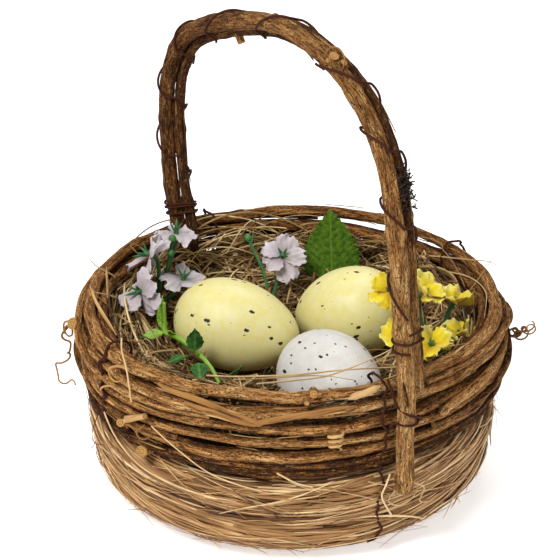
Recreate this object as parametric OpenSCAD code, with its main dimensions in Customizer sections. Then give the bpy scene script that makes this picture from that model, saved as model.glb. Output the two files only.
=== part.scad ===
// Easter basket: six vine hoops wired on top of a straw bowl, an arched handle
// of three vine stems, a hay nest with three loose eggs, and artificial flowers.
// Millimetres, +Z up. The origin is the middle of the flat underside.
// The handle spans along X: its front foot (+X) stands outside the hoops and its
// back foot (-X) stands inside them.

/* [Basket] */
// Middle-line radius of the widest vine hoop
hoop_r = 97.5; // [96:0.5:100]
// Height of the rim hoop's middle line
rim_z = 88; // [86:0.5:90]
// Radius of the flat underside
base_r = 69; // [60:1:72]
// Outer radius of the straw bowl at its widest
bowl_r = 96; // [94:0.5:97]
// Height of the straw bowl's top edge
bowl_top = 45; // [40:0.5:46]
// Thickness of the straw at the bottom of the bowl
floor_t = 8; // [5:0.5:10]

/* [Handle] */
// Height of the handle's middle line at the top of the arch
arch_z = 224; // [215:1:235]
// Turns of the wire that binds the handle's stems
binding_turns = 9; // [6:1:12]
// Radius of the binding and tying wire
wire_r = 0.6; // [0.4:0.1:0.8]

/* [Eggs] */
// Width of an egg
egg_w = 43; // [40:0.5:44]
// Length of the yellow eggs
egg_length = 60; // [56:0.5:61]
// How much the blunt end is fuller than the pointed end
egg_taper = 0.13; // [0.05:0.01:0.15]

/* [Hidden] */

fine = 96;
tube_sides = 8;
wire_sides = 6;
x_axis = [1, 0, 0];
y_axis = [0, 1, 0];
z_axis = [0, 0, 1];

// ---- routes and tubes ----

function unit(v) = v / norm(v);
function along(p, i) = unit(p[min(i + 1, len(p) - 1)] - p[max(i - 1, 0)]);
function square_to(v, t) = unit(v - (v * t) * t);
function start_side(t) = square_to(abs(t * z_axis) < 0.9 ? z_axis : x_axis, t);

// Directions square to the route, carried along it without a twist
function sides_of(p) = [
    for (i = 0, s = start_side(along(p, 0));
         i < len(p);
         i = i + 1, s = square_to(s, along(p, min(i, len(p) - 1)))) s
];

// A smooth curve through the points; t counts the points from 0
function curve_at(p, t) =
    let (i = min(floor(t), len(p) - 2),
         f = t - i,
         a = p[max(i - 1, 0)], b = p[i], c = p[i + 1], d = p[min(i + 2, len(p) - 1)])
    0.5 * (2 * b + (c - a) * f + (2 * a - 5 * b + 4 * c - d) * f * f
        + (3 * b - a - 3 * c + d) * f * f * f);
function smooth(p, steps) = [
    for (i = [0 : (len(p) - 1) * steps]) curve_at(p, i / steps)
];

// A point from its angle round the basket, its radius and its height
function polar(angle, r, z) = [r * cos(angle), r * sin(angle), z];
function polar_route(rows) = [for (row = rows) polar(row[0], row[1], row[2])];

// A solid swept along a route, with its radius running evenly from r to end_r
module tube(route, r, end_r = undef, sides = tube_sides) {
    last = len(route) - 1;
    far_r = is_undef(end_r) ? r : end_r;
    side = sides_of(route);
    points = [
        for (i = [0 : last])
            let (t = along(route, i),
                 up = cross(t, side[i]),
                 ring_r = r + (far_r - r) * i / last)
            for (j = [0 : sides - 1])
                route[i] + ring_r * (cos(360 * j / sides) * side[i]
                    + sin(360 * j / sides) * up)
    ];
    walls = [
        for (i = [0 : last - 1])
            for (j = [0 : sides - 1])
                let (k = (j + 1) % sides)
                [i * sides + j, (i + 1) * sides + j, (i + 1) * sides + k, i * sides + k]
    ];
    near_end = [for (j = [0 : sides - 1]) j];
    far_end = [for (j = [sides - 1 : -1 : 0]) last * sides + j];
    polyhedron(points = points, faces = concat(walls, [near_end, far_end]));
}

// ---- vine hoops ----

// Each hoop: [middle-line radius below hoop_r, height below rim_z, stem radius,
// angle of its two cut ends], from the rim down
hoops = [
    [3, 0, 3.2, 222],
    [0.5, 7, 3.3, 118],
    [0, 14.8, 3.4, 250],
    [0.5, 21.8, 3.0, 64],
    [1.5, 29.2, 3.5, 152],
    [2.5, 37, 3.3, 205]
];
hoop_steps = 48;
// Angle between the two cut ends of a hoop
cut_gap = 1.6;

// Every hoop wanders the same way, as vines bent over one another do
function wander_r(a) = 1.1 * sin(2 * a - 40) + 0.5 * sin(3 * a - 60);
function wander_z(a) = 0.8 * sin(2 * a + 60) + 0.4 * sin(5 * a);
// The rim hoop lifts off the one below at the back
rim_lift = 3.5;
function lift(a) = let (d = abs(a % 360 - 128)) d < 40 ? rim_lift * pow(cos(d * 90 / 40), 2) : 0;

function vine_arc(r, z, from, to, steps) = [
    for (i = [0 : steps])
        let (a = from + (to - from) * i / steps)
        polar(a, r + wander_r(a), z + wander_z(a))
];

module vine_hoop(n) {
    h = hoops[n - 1];
    route = vine_arc(hoop_r - h[0], rim_z - h[1],
        h[3] + cut_gap / 2, h[3] + 360 - cut_gap / 2, hoop_steps);
    lifted = [for (i = [0 : hoop_steps])
        let (a = h[3] + 360 * i / hoop_steps)
        route[i] + (n == 1 ? lift(a) : 0) * z_axis
    ];
    color("sienna") tube(lifted, h[2]);
}

inner_r = 88.5;
inner_stem_r = 2.4;
module inner_vine_front() {
    color("sienna") tube(vine_arc(inner_r, rim_z - 4, 198, 346, 20), inner_stem_r);
}
module inner_vine_back() {
    color("sienna") tube(vine_arc(inner_r, rim_z - 4, -6, 172, 24), inner_stem_r);
}
module inner_vine_low() {
    color("sienna") tube(vine_arc(inner_r + 0.5, rim_z - 12, 198, 532, 44), inner_stem_r);
}

// A thin split vine lies over the front hoops with a kink in it
split_route = [
    [-64, 99.8, 86.8], [-55, 101.3, 84], [-47, 102.4, 80.5], [-40, 101.8, 78.4],
    [-33, 102.3, 80], [-25, 102.1, 82.8]
];
module split_vine() {
    route = [for (p = split_route)
        polar(p[0], p[1] + wander_r(p[0]), p[2] + wander_z(p[0]))
    ];
    color("peru") tube(smooth(route, 4), 1.5, 1.1);
}

// A side shoot cut short, standing off the front left of the hoops
side_twig_route = polar_route([[-71.5, 104, 70.5], [-77.5, 103.8, 64.4], [-83.5, 104, 58]]);
module side_twig() {
    color("burlywood") tube(smooth(side_twig_route, 3), 1.5, 1.9);
}

// A dry tendril rolled up flat against the hoops
curl_turns = 1.5;
curl_centre = polar(-21.5, 103.4, 70);
module curled_twig() {
    steps = 18;
    out = unit([curl_centre[0], curl_centre[1], 0]);
    sideways = cross(z_axis, out);
    route = [for (i = [0 : steps])
        let (a = 360 * curl_turns * i / steps, r = 3.6 - 2.2 * i / steps)
        curl_centre + r * (cos(a) * sideways + sin(a) * z_axis) + 0.5 * i / steps * out
    ];
    color("peru") tube(route, 0.8, 0.5, wire_sides);
}

// ---- straw bowl ----

bowl_outside = [
    [base_r, 0], [84.5, 5], [bowl_r - 3.4, 12.5], [bowl_r - 2.3, 22],
    [bowl_r, 37], [bowl_r - 2, bowl_top - 1.5], [bowl_r - 5, bowl_top]
];
bowl_inside = [
    [bowl_r - 8, bowl_top - 0.8], [bowl_r - 8.6, 36], [bowl_r - 10.5, 22],
    [bowl_r - 17, 12.5], [66, floor_t]
];
module straw_bowl() {
    profile = concat([[0, 0]], smooth(bowl_outside, 4), smooth(bowl_inside, 4),
        [[0, floor_t]]);
    color("tan") rotate_extrude($fn = fine) polygon(profile);
}

// ---- handle ----

// Middle line of the bundle of stems, from the back foot over the arch to the front
handle_line = [
    [-84, -9, 60], [-85, -8, 88], [-93, -8, 116], [-100, -6, 146], [-99, -4, 171],
    [-84, -2.5, 194.5], [-46, 0, arch_z - 11], [0, 0, arch_z], [46, 0, arch_z - 7],
    [74, 0, 196], [89, -1, 165], [96.5, -2, 125], [103, -2.7, 92], [104, -3, 70],
    [104, -3, 40]
];
// Each stem: [offset outwards, offset along Y, radius, first and last place on the
// middle line, counted in its points]
stem_main = [0.5, -3.4, 3.9, 0, 14];
stem_outer = [-0.5, 3.6, 2.5, 0, 12.2];
stem_inner = [-5.2, 0.6, 2.2, 0.1, 11.7];
stems = [stem_main, stem_outer, stem_inner];
stem_step = 1 / 3;

function handle_along(t) = unit(curve_at(handle_line, min(t + 0.1, 14))
    - curve_at(handle_line, max(t - 0.1, 0)));
function handle_out(t) = unit(cross(handle_along(t), y_axis));
function stem_route(s) =
    let (steps = ceil((s[4] - s[3]) / stem_step))
    [for (i = [0 : steps])
        let (t = s[3] + (s[4] - s[3]) * i / steps)
        curve_at(handle_line, t) + s[0] * handle_out(t) + s[1] * y_axis];

module handle_stem(s) {
    color("saddlebrown") tube(stem_route(s), s[2]);
}
module handle_stem_main() { handle_stem(stem_main); }
module handle_stem_outer() { handle_stem(stem_outer); }
module handle_stem_inner() { handle_stem(stem_inner); }

// The stem that stands out most from the bundle's middle line at angle a
function outermost(a) =
    let (reach = [for (s = stems) s[0] * cos(a) + s[1] * sin(a) + s[2]])
    stems[search(max(reach), reach)[0]];
wrap_gap = 0.4;
// A wire pulled tight round the bundle
function wrap_route(from, to, turns, steps) = [
    for (i = [0 : steps])
        let (t = from + (to - from) * i / steps,
             a = 360 * turns * i / steps,
             s = outermost(a),
             r = s[2] + wire_r + wrap_gap)
        curve_at(handle_line, t) + (s[0] + r * cos(a)) * handle_out(t)
            + (s[1] + r * sin(a)) * y_axis
];
turn_steps = 12;
module handle_binding() {
    color("brown") tube(wrap_route(1.9, 11.1, binding_turns, binding_turns * turn_steps),
        wire_r, undef, wire_sides);
}
module front_lashing() {
    color("brown") tube(wrap_route(11.25, 11.5, 2, 2 * turn_steps), wire_r, undef, wire_sides);
}
module back_lashing() {
    color("brown") tube(wrap_route(1.35, 1.7, 3, 3 * turn_steps), wire_r, undef, wire_sides);
}

// Side shoots cut short, one on top of the arch and one below it, each as [place on
// the middle line, offset outwards, offset along Y, radius, length]
spurs = [[7.8, 4.8, -3.4, 1.6, 4], [5.9, -7.8, 0.6, 1.1, 7]];
module handle_spurs() {
    for (s = spurs) {
        out = handle_out(s[0]);
        foot = curve_at(handle_line, s[0]) + s[1] * out + s[2] * y_axis;
        tip = foot + s[4] * (0.4 * handle_along(s[0]) + sign(s[1]) * out);
        color("burlywood") tube([foot, (foot + tip) / 2, tip], s[3], s[3] * 0.8);
    }
}

// ---- tie wires ----

// Each tie starts behind the inner vines, goes over the rim and down the outside
// of the hoops and the bowl, as [radius, height]
tie_line = [
    [85.2, 70.5], [85.2, 79], [85.4, 88.2], [90, 93.2], [96.4, 93.4], [99.6, 88.6],
    [101.6, 81], [102.2, 73.2], [101.4, 66], [101, 58.8], [99.8, 51], [98.4, 45],
    [97.6, 37], [95.4, 22], [94.2, 11.5], [87, 4.4]
];
tie_bowl_z = 46;
module tie_wire(angle) {
    route = [for (p = smooth(tie_line, 2))
        let (on_hoops = p[1] > tie_bowl_z ? 1 : 0)
        polar(angle, p[0] + on_hoops * wander_r(angle), p[1] + on_hoops * wander_z(angle))
    ];
    color("maroon") tube(route, wire_r, undef, wire_sides);
}
module tie_wire_front() { tie_wire(-8); }
module tie_wire_left() { tie_wire(-90); }
module tie_wire_right() { tie_wire(90); }
module tie_wire_back() { tie_wire(174.5); }

// ---- tendrils ----

left_tendril_route = polar_route([
    [-122, 101.6, 77], [-122.5, 104.6, 76], [-122, 107.4, 72.6], [-120.5, 107.6, 68],
    [-119.5, 105.4, 63.6], [-120.5, 105.8, 59], [-122, 109, 55.4], [-123.4, 112, 51.6],
    [-122.6, 113, 47.2], [-120.4, 110.6, 45.8], [-118.6, 106.6, 47.4], [-117.6, 103.4, 45.6]
]);
module left_tendril() {
    color("chocolate") tube(smooth(left_tendril_route, 4), 0.8, 0.5, wire_sides);
}

// The right tendril leaves the hoops and winds up into a small open coil
coil_r = 3.2;
coil_turns = 2.5;
module right_tendril() {
    start = polar(56, 101.4, 70);
    out = unit([start[0], start[1], 0]);
    sideways = cross(z_axis, out);
    steps = 30;
    coil = [for (i = [0 : steps])
        let (a = 360 * coil_turns * i / steps, r = coil_r * (0.7 + 0.3 * cos(a / 2)))
        start + (4 + 6.5 * i / steps) * out
            + r * (sin(a) * sideways + (1 - cos(a)) * z_axis)
    ];
    color("chocolate") tube(concat([start], coil), 0.6, 0.4, wire_sides);
}

// ---- eggs ----

// Each egg: [centre, direction of its pointed end round Z, its rise, length]
left_egg = [[-11.5, -23.6, 75], 42, -7.5, egg_length + 1];
right_egg = [[0.6, 31.5, 72.5], 203, -24, egg_length - 2];
white_egg = [[46.5, -8, 69], 0, 8, egg_length];

function egg_profile(length, grow) = [
    for (u = [0 : 7.5 : 180])
        [(egg_w / 2 + grow) * sin(u) * (1 - egg_taper * cos(u)),
         (length / 2 + grow) * cos(u)]
];
module egg(place, grow = 0) {
    translate(place[0])
        rotate([0, 90 - place[2], place[1]])
            rotate_extrude($fn = fine) polygon(egg_profile(place[3], grow));
}
module egg_left() { color("khaki") egg(left_egg); }
module egg_right() { color("khaki") egg(right_egg); }
module egg_white() { color("white") egg(white_egg); }

// ---- hay ----

// Outside of the hay, from the bowl's floor up its wall and over the nest's edge
hay_gap = 0.4;
hay_outline = [
    [0, floor_t + hay_gap], [65, floor_t + hay_gap], [bowl_r - 17.8, 13],
    [bowl_r - 11.2, 22], [bowl_r - 9.2, 36], [bowl_r - 8.6, bowl_top],
    [bowl_r - 8.4, 60], [84.4, 66], [76, 67.5], [62, 62], [40, 56], [20, 53], [0, 52]
];
egg_gap = 0.5;
// Hollow in the hay where the handle's back foot stands
foot_hollow_r = 10.6;
module hay_lining() {
    color("darkkhaki") difference() {
        rotate_extrude($fn = fine) polygon(hay_outline);
        egg(left_egg, egg_gap);
        egg(right_egg, egg_gap);
        egg(white_egg, egg_gap);
        translate([-83, -8.6, 56]) cylinder(h = 20, r = foot_hollow_r, $fn = fine);
    }
}

// ---- leaves and petals ----

leaf_t = 0.8;
// A pointed leaf outline lying along X from the origin
function leaf_outline(length, width) = concat(
    [for (i = [0 : 8]) [length * i / 8, width / 2 * pow(sin(180 * pow(i / 8, 0.65)), 0.9)]],
    [for (i = [7 : -1 : 1]) [length * i / 8, -width / 2 * pow(sin(180 * pow(i / 8, 0.65)), 0.9)]]
);
module leaf(foot, turn, length, width) {
    translate(foot) rotate(turn) linear_extrude(leaf_t) polygon(leaf_outline(length, width));
}
module big_leaf() {
    color("forestgreen") leaf([-40, 49, 64], [-32, -94, 0], 42, 28);
}
// Each small dark leaf: [foot, turn, length, width]
dark_leaves = [
    [[2.5, -54.5, 77.5], [0, -85, -32], 12, 8],
    [[-2, -57, 73], [0, 10, -100], 10, 6],
    [[8, -56, 73.5], [0, 20, -25], 10, 8],
    [[21, -45, 69], [0, -60, 20], 9, 7]
];
module dark_leaf(n) {
    d = dark_leaves[n - 1];
    color("darkgreen") leaf(d[0], d[1], d[2], d[3]);
}

petal_t = 0.7;
petal_hole_r = 1.9;
// Petals round a hole for the stem, cupped by the rise in degrees
module petal_ring(place, turn, count, reach, width, rise) {
    translate(place) rotate(turn) difference() {
        for (i = [0 : count - 1])
            rotate([0, -rise, 360 * i / count])
                translate([reach / 2 + 0.6, 0, 0])
                    linear_extrude(petal_t)
                        polygon([for (a = [0 : 24 : 336])
                            [reach / 2 * cos(a), width / 2 * sin(a)]]);
        translate([0, 0, -8]) cylinder(h = 24, r = petal_hole_r, $fn = 32);
    }
}

// Each white flower: [place, turn]; the first four stand on the left, the fifth
// in the middle
white_flowers = [
    [[-68, -24, 100], [-9, -15, 0]],
    [[-58, -44, 98], [46, -42, 0]],
    [[-53, -29, 83], [-12, 4, 0]],
    [[-46, -56, 87], [60, 20, 0]],
    [[-47, 24, 84], [15, 35, 0]]
];
white_reach = 11;
module white_petals(n) {
    f = white_flowers[n - 1];
    color("lavender") petal_ring(f[0], f[1], 5, white_reach, 8, 12);
}

// Each yellow flower: [place, turn]
yellow_flowers = [
    [[42, 27, 103], [20, 10, 0]],
    [[43, 45, 97], [-20, 20, 0]],
    [[44, 62, 88], [-30, 10, 0]],
    [[50, 27, 84], [40, 10, 0]],
    [[60, 38, 80], [10, 30, 0]],
    [[56, 56, 78], [-10, 30, 0]]
];
yellow_reach = 8.4;
module yellow_petals(n) {
    f = yellow_flowers[n - 1];
    color("gold") petal_ring(f[0], f[1], 4, yellow_reach, 9, 20);
}

// A moulded sprig: one stem from the foot to each flower, through its petals
stem_r = 1.1;
calyx_over = 3;
function turned_z(turn) = [
    sin(turn[1]) * cos(turn[0]),
    -sin(turn[0]),
    cos(turn[1]) * cos(turn[0])
];
module sprig(foot, flowers) {
    for (f = flowers) {
        up = turned_z(f[1]);
        tube(smooth([foot, (foot + f[0]) / 2 - 4 * up, f[0] - 4 * up, f[0] + calyx_over * up], 3),
            stem_r, stem_r, wire_sides);
    }
}
module white_sprig() {
    color("seagreen") sprig([-63, -40, 68.3], [for (i = [0 : 3]) white_flowers[i]]);
}
module centre_sprig() {
    color("seagreen") sprig([-30, 4, 58], [white_flowers[4]]);
}
module yellow_sprig() {
    color("seagreen") sprig([56, 42, 66.5], yellow_flowers);
}

green_sprig_route = [
    [-25, -55, 74.5], [-14, -54, 76], [-4, -53, 75.5],
    [5, -52.5, 74.5], [13, -52, 72], [19, -51.5, 67]
];
green_branch_route = [[-25, -55, 74.5], [-25.5, -54.8, 80], [-25, -55, 90]];
module green_sprig() {
    color("limegreen") union() {
        tube(smooth(green_sprig_route, 3), 1.4, 1.1, wire_sides);
        tube(smooth(green_branch_route, 3), 1.5, 0.9, wire_sides);
    }
}

straw_bowl();
vine_hoop(1);  // vine_hoop_1
vine_hoop(2);  // vine_hoop_2
vine_hoop(3);  // vine_hoop_3
vine_hoop(4);  // vine_hoop_4
vine_hoop(5);  // vine_hoop_5
vine_hoop(6);  // vine_hoop_6
inner_vine_front();
inner_vine_back();
inner_vine_low();
split_vine();
side_twig();
curled_twig();
handle_stem_main();
handle_stem_outer();
handle_stem_inner();
handle_spurs();
handle_binding();
front_lashing();
back_lashing();
tie_wire_front();
tie_wire_left();
tie_wire_right();
tie_wire_back();
left_tendril();
right_tendril();
hay_lining();
egg_left();
egg_right();
egg_white();
big_leaf();
white_petals(1);  // white_petals_1
white_petals(2);  // white_petals_2
white_petals(3);  // white_petals_3
white_petals(4);  // white_petals_4
white_petals(5);  // white_petals_5
white_sprig();
centre_sprig();
yellow_petals(1);  // yellow_petals_1
yellow_petals(2);  // yellow_petals_2
yellow_petals(3);  // yellow_petals_3
yellow_petals(4);  // yellow_petals_4
yellow_petals(5);  // yellow_petals_5
yellow_petals(6);  // yellow_petals_6
yellow_sprig();
green_sprig();
dark_leaf(1);  // dark_leaf_1
dark_leaf(2);  // dark_leaf_2
dark_leaf(3);  // dark_leaf_3
dark_leaf(4);  // dark_leaf_4
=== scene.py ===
"""Easter basket: vine hoops on a straw bowl, an arched vine handle, a hay nest with
three loose eggs and cloth flowers. Routes and sizes below are in millimetres and
become metres when a mesh is made."""
import math

import bpy
import numpy as np
from mathutils import Euler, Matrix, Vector


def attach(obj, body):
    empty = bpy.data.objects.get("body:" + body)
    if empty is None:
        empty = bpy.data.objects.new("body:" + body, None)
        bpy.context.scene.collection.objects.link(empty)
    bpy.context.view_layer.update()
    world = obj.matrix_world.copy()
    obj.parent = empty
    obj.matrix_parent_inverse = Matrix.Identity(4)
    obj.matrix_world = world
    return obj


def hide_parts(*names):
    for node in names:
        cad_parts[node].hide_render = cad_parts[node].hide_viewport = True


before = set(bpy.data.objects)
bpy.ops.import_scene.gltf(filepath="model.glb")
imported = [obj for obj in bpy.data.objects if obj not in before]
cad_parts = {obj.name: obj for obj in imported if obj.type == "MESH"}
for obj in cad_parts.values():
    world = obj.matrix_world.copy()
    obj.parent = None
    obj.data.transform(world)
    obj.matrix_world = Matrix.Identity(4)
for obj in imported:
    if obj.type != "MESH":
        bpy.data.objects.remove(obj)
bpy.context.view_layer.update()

MM = 0.001
TURN = 2 * math.pi
UP = np.array((0, 0, 1.0))
GRAIN_SPAN = 900   # how far along the bark or straw texture a piece may begin
scene = bpy.context.scene


# ---------------------------------------------------------------- camera and light

def rgb(red, green, blue):
    """A colour as a screen shows it, 0 to 255, as the linear one the shaders use."""
    def linear(c):
        c = c / 255
        return c / 12.92 if c <= 0.04045 else ((c + 0.055) / 1.055) ** 2.4
    return (linear(red), linear(green), linear(blue), 1.0)


VIEW_AZIMUTH = 58
VIEW_ELEVATION = 27
VIEW_DISTANCE = 1.150
VIEW_TARGET = Vector((-0.003, -0.0048, 0.098))
LENS = 157.5
WORLD_LIGHT = 0.36
# Each light: azimuth on from the camera's, elevation, distance, size and power
LIGHTS = {"key": (-38, 50, 1.4, 0.5, 17.5), "fill": (50, 30, 1.5, 0.9, 3),
          "back": (165, 55, 1.4, 0.8, 7.5)}


def view_direction(azimuth, elevation):
    """The unit vector from the object towards a viewer; azimuth 0 looks along +Y."""
    a, e = math.radians(azimuth), math.radians(elevation)
    return Vector((math.sin(a) * math.cos(e), -math.cos(a) * math.cos(e), math.sin(e)))


def place_facing(name, data, azimuth, elevation, distance):
    """A camera or light that stands off from the target and faces it."""
    made = bpy.data.objects.new(name, data)
    direction = view_direction(azimuth, elevation)
    made.location = VIEW_TARGET + distance * direction
    made.rotation_euler = direction.to_track_quat("Z", "Y").to_euler()
    scene.collection.objects.link(made)
    return made


def make_studio():
    lens = bpy.data.cameras.new("camera")
    lens.lens = LENS
    scene.camera = place_facing("camera", lens, VIEW_AZIMUTH, VIEW_ELEVATION, VIEW_DISTANCE)
    for name, (turn, elevation, distance, size, power) in LIGHTS.items():
        lamp = bpy.data.lights.new(name, "AREA")
        lamp.shape = "DISK"
        lamp.size = size
        lamp.energy = power
        place_facing(name, lamp, VIEW_AZIMUTH + turn, elevation, distance)
    world = bpy.data.worlds.new("studio")
    world.use_nodes = True
    background = world.node_tree.nodes["Background"]
    background.inputs["Color"].default_value = (1, 1, 1, 1)
    background.inputs["Strength"].default_value = WORLD_LIGHT
    scene.world = world
    scene.view_settings.view_transform = "Standard"


# ---------------------------------------------------------------- shader graphs

class Graph:
    """A material's node tree, built by calls that each return an output socket."""

    def __init__(self, name):
        self.material = bpy.data.materials.new(name)
        self.material.use_nodes = True
        self.tree = self.material.node_tree
        self.shader = self.tree.nodes["Principled BSDF"]

    def node(self, kind, inputs=None, **settings):
        made = self.tree.nodes.new("ShaderNode" + kind)
        for key, value in settings.items():
            setattr(made, key, value)
        for key, value in (inputs or {}).items():
            self.put(made.inputs[key], value)
        return made

    def put(self, socket, value):
        if isinstance(value, bpy.types.NodeSocket):
            self.tree.links.new(value, socket)
        else:
            socket.default_value = value

    def tint(self):
        return self.node("Attribute", attribute_name="tint").outputs["Fac"]

    def grain(self, along=1, across=1, move=(0, 0, 0)):
        """Millimetres across the piece and along it, scaled and moved."""
        where = self.node("Attribute", attribute_name="grain").outputs["Vector"]
        return self.scaled(where, (across, across, along), move)

    def scaled(self, vector, scale, move):
        return self.node("Mapping", {"Vector": vector, "Scale": scale,
                                     "Location": move}).outputs[0]

    def noise(self, where, scale, detail, roughness, distortion=0.0):
        return self.node("TexNoise", {"Vector": where, "Scale": scale, "Detail": detail,
                                      "Roughness": roughness,
                                      "Distortion": distortion}).outputs["Fac"]

    def ramp(self, value, stops):
        made = self.node("ValToRGB", {"Fac": value})
        elements = made.color_ramp.elements
        while len(elements) < len(stops):
            elements.new(0.5)
        for element, (position, colour) in zip(elements, stops):
            element.position = position
            element.color = colour
        return made.outputs["Color"]

    def between(self, value, low, high, out_low=0.0, out_high=1.0):
        return self.node("MapRange", {"Value": value, "From Min": low, "From Max": high,
                                      "To Min": out_low, "To Max": out_high}).outputs["Result"]

    def maths(self, operation, a, b=0.0):
        return self.node("Math", {0: a, 1: b}, operation=operation).outputs[0]

    def vectors(self, operation, a, b, output="Vector"):
        return self.node("VectorMath", {0: a, 1: b}, operation=operation).outputs[output]

    def mix(self, amount, a, b, blend="MIX"):
        return self.node("Mix", {0: amount, 6: a, 7: b}, data_type="RGBA",
                         blend_type=blend).outputs[2]

    def finish(self, colour, roughness, bump, specular=0.5, **others):
        """Wires the shader; bump is nothing or a height socket, a strength and a distance."""
        inputs = {"Base Color": colour, "Roughness": roughness, "Specular IOR Level": specular}
        if bump:
            bump = dict(zip(("Height", "Strength", "Distance"), bump))
            inputs["Normal"] = self.node("Bump", bump).outputs[0]
        for key, value in others.items():
            inputs[key.replace("_", " ").title()] = value
        for key, value in inputs.items():
            self.put(self.shader.inputs[key], value)
        return self.material


def bark_material(name, pale, light, middle, dark, speck):
    """Rough bark in short streaks, with cracks along the stem and small dark specks."""
    g = Graph(name)
    strips = g.noise(g.grain(0.13), 0.8, 6, 0.75, 0.8)
    fibres = g.noise(g.grain(0.16, move=(13, 2, 8)), 2.6, 3, 0.7)
    crack = g.noise(g.grain(0.10, move=(31, 7, 3)), 0.8, 4, 0.65, 0.8)
    specks = g.noise(g.grain(0.6, move=(5, 50, 9)), 1.55, 2, 0.6)
    patches = g.noise(g.grain(0.07, 0.26), 1.0, 4, 0.65)
    flakes = g.noise(g.grain(0.35, move=(2, 9, 40)), 0.75, 5, 0.75)
    shade = g.maths("ADD", g.maths("MULTIPLY", strips, 0.55), g.maths("MULTIPLY", fibres, 0.45))
    shade = g.maths("ADD", shade, g.between(patches, 0.3, 0.7, -0.08, 0.08))
    # The tint carries the stem's own tone and also its painted shade
    shade = g.maths("ADD", shade, g.between(g.tint(), 0.0, 1.0, -0.19, 0.04))
    colour = g.ramp(shade, [(0.32, dark), (0.43, middle), (0.53, light), (0.66, pale)])
    colour = g.mix(g.between(flakes, 0.58, 0.68, 0.0, 0.55), colour, pale)
    line = g.between(g.maths("ABSOLUTE", g.maths("SUBTRACT", crack, 0.5)), 0.003, 0.024, 1.0, 0.0)
    colour = g.mix(g.maths("MULTIPLY", line, 0.8), colour, rgb(34, 15, 4))
    often = g.between(patches, 0.32, 0.55, 0.35, 1.0)
    colour = g.mix(g.maths("MULTIPLY", g.between(specks, 0.585, 0.62), often), colour, speck)
    height = g.maths("SUBTRACT", g.maths("MULTIPLY", shade, 1.6), g.maths("MULTIPLY", line, 0.5))
    height = g.maths("ADD", height, g.between(flakes, 0.56, 0.66, 0.0, 0.35))
    return g.finish(colour, g.between(shade, 0.35, 0.65, 0.92, 0.72), (height, 1.0, 0.0009), 0.14)


def strand_material(name, dark, middle, light, pale, rough=0.55):
    """Dry stalks: one colour to each stalk, from its tint, with fine lines along it."""
    g = Graph(name)
    lines = g.noise(g.grain(0.03), 3.2, 3, 0.6)
    blotch = g.noise(g.grain(0.05, 0.2), 1.0, 2, 0.5)
    shade = g.maths("ADD", g.tint(), g.between(blotch, 0.3, 0.7, -0.16, 0.16))
    colour = g.ramp(shade, [(0.05, dark), (0.38, middle), (0.68, light), (0.97, pale)])
    colour = g.mix(g.between(lines, 0.52, 0.30, 0.0, 0.55), colour, dark)
    return g.finish(colour, g.between(lines, 0.3, 0.7, rough + 0.15, rough - 0.08),
                    (lines, 0.5, 0.0002), 0.4)


def core_material(name, dark, light):
    """The mass behind the stalks, painted dark as painted shade in the gaps between them."""
    g = Graph(name)
    fibres = g.noise(g.grain(0.9, 0.9), 1.0, 5, 0.7, 1.2)
    return g.finish(g.ramp(fibres, [(0.38, dark), (0.66, light)]), 0.95, (fibres, 0.8, 0.001), 0.1)


# Egg specks: cells per millimetre, size within a cell, share left blank, offset
SPECKS = ((0.16, 0.15, 0.15, (3, 1, 7)), (0.27, 0.13, 0.45, (9, 4, 2)),
          (0.5, 0.09, 0.72, (1, 8, 5)))


def egg_material(name, shell, mottle, speck):
    """A painted egg: a faintly mottled shell with small irregular dark specks."""
    g = Graph(name)
    mottling = g.noise(g.grain(), 0.22, 4, 0.6)
    pores = g.noise(g.grain(), 2.4, 2, 0.5)
    warp = g.node("TexNoise", {"Vector": g.grain(), "Scale": 1.3, "Detail": 2.0})
    wide = g.vectors("MULTIPLY", warp.outputs["Color"], (1.1, 1.1, 1.1))
    bent = g.vectors("ADD", g.grain(), wide)
    colour = g.mix(g.between(mottling, 0.35, 0.7), shell, mottle)
    for scale, size, share, move in SPECKS:
        cells = g.node("TexVoronoi", {"Vector": g.scaled(bent, (1, 1, 0.5), move), "Scale": scale})
        chance = g.node("SeparateColor", {0: cells.outputs["Color"]}).outputs[0]
        spot = g.maths("MULTIPLY", g.between(cells.outputs["Distance"], size, size * 0.88),
                       g.maths("GREATER_THAN", chance, share))
        colour = g.mix(spot, colour, speck)
    return g.finish(colour, g.between(mottling, 0.3, 0.7, 0.42, 0.55), (pores, 0.18, 0.0002),
                    0.42, subsurface_weight=0.04, subsurface_scale=0.004)


def cloth_material(name, middle, edge, base):
    """Starched cloth petals: a fine weave, paler at the rim, tinted at the throat."""
    g = Graph(name)
    weave = g.node("TexChecker", {"Vector": g.grain(), "Scale": 3.4}).outputs["Fac"]
    soft = g.noise(g.grain(), 0.5, 3, 0.6)
    colour = g.mix(g.between(g.tint(), 0.05, 0.55), base, middle)
    colour = g.mix(g.between(g.tint(), 0.7, 1.0, 0.0, 0.8), colour, edge)
    colour = g.mix(g.between(soft, 0.45, 0.8, 0.0, 0.35), colour, base)
    colour = g.mix(0.05, colour, weave, "MULTIPLY")
    return g.finish(colour, 0.85, (weave, 0.18, 0.0001), 0.2, sheen_weight=0.2,
                    subsurface_weight=0.08, subsurface_scale=0.002)


def leaf_material(name, deep, bright, vein):
    """Printed cloth leaf: mottled green with pale veins carried in its tint."""
    g = Graph(name)
    mottle = g.noise(g.grain(), 0.42, 4, 0.65)
    weave = g.noise(g.grain(), 3.0, 1, 0.5)
    colour = g.mix(g.between(mottle, 0.36, 0.66), deep, bright)
    colour = g.mix(g.between(g.tint(), 0.25, 0.9, 0.0, 0.6), colour, vein)
    colour = g.mix(g.between(weave, 0.55, 0.8, 0.0, 0.3), colour, bright)
    return g.finish(colour, 0.7, (weave, 0.3, 0.00015), 0.3)


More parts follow.
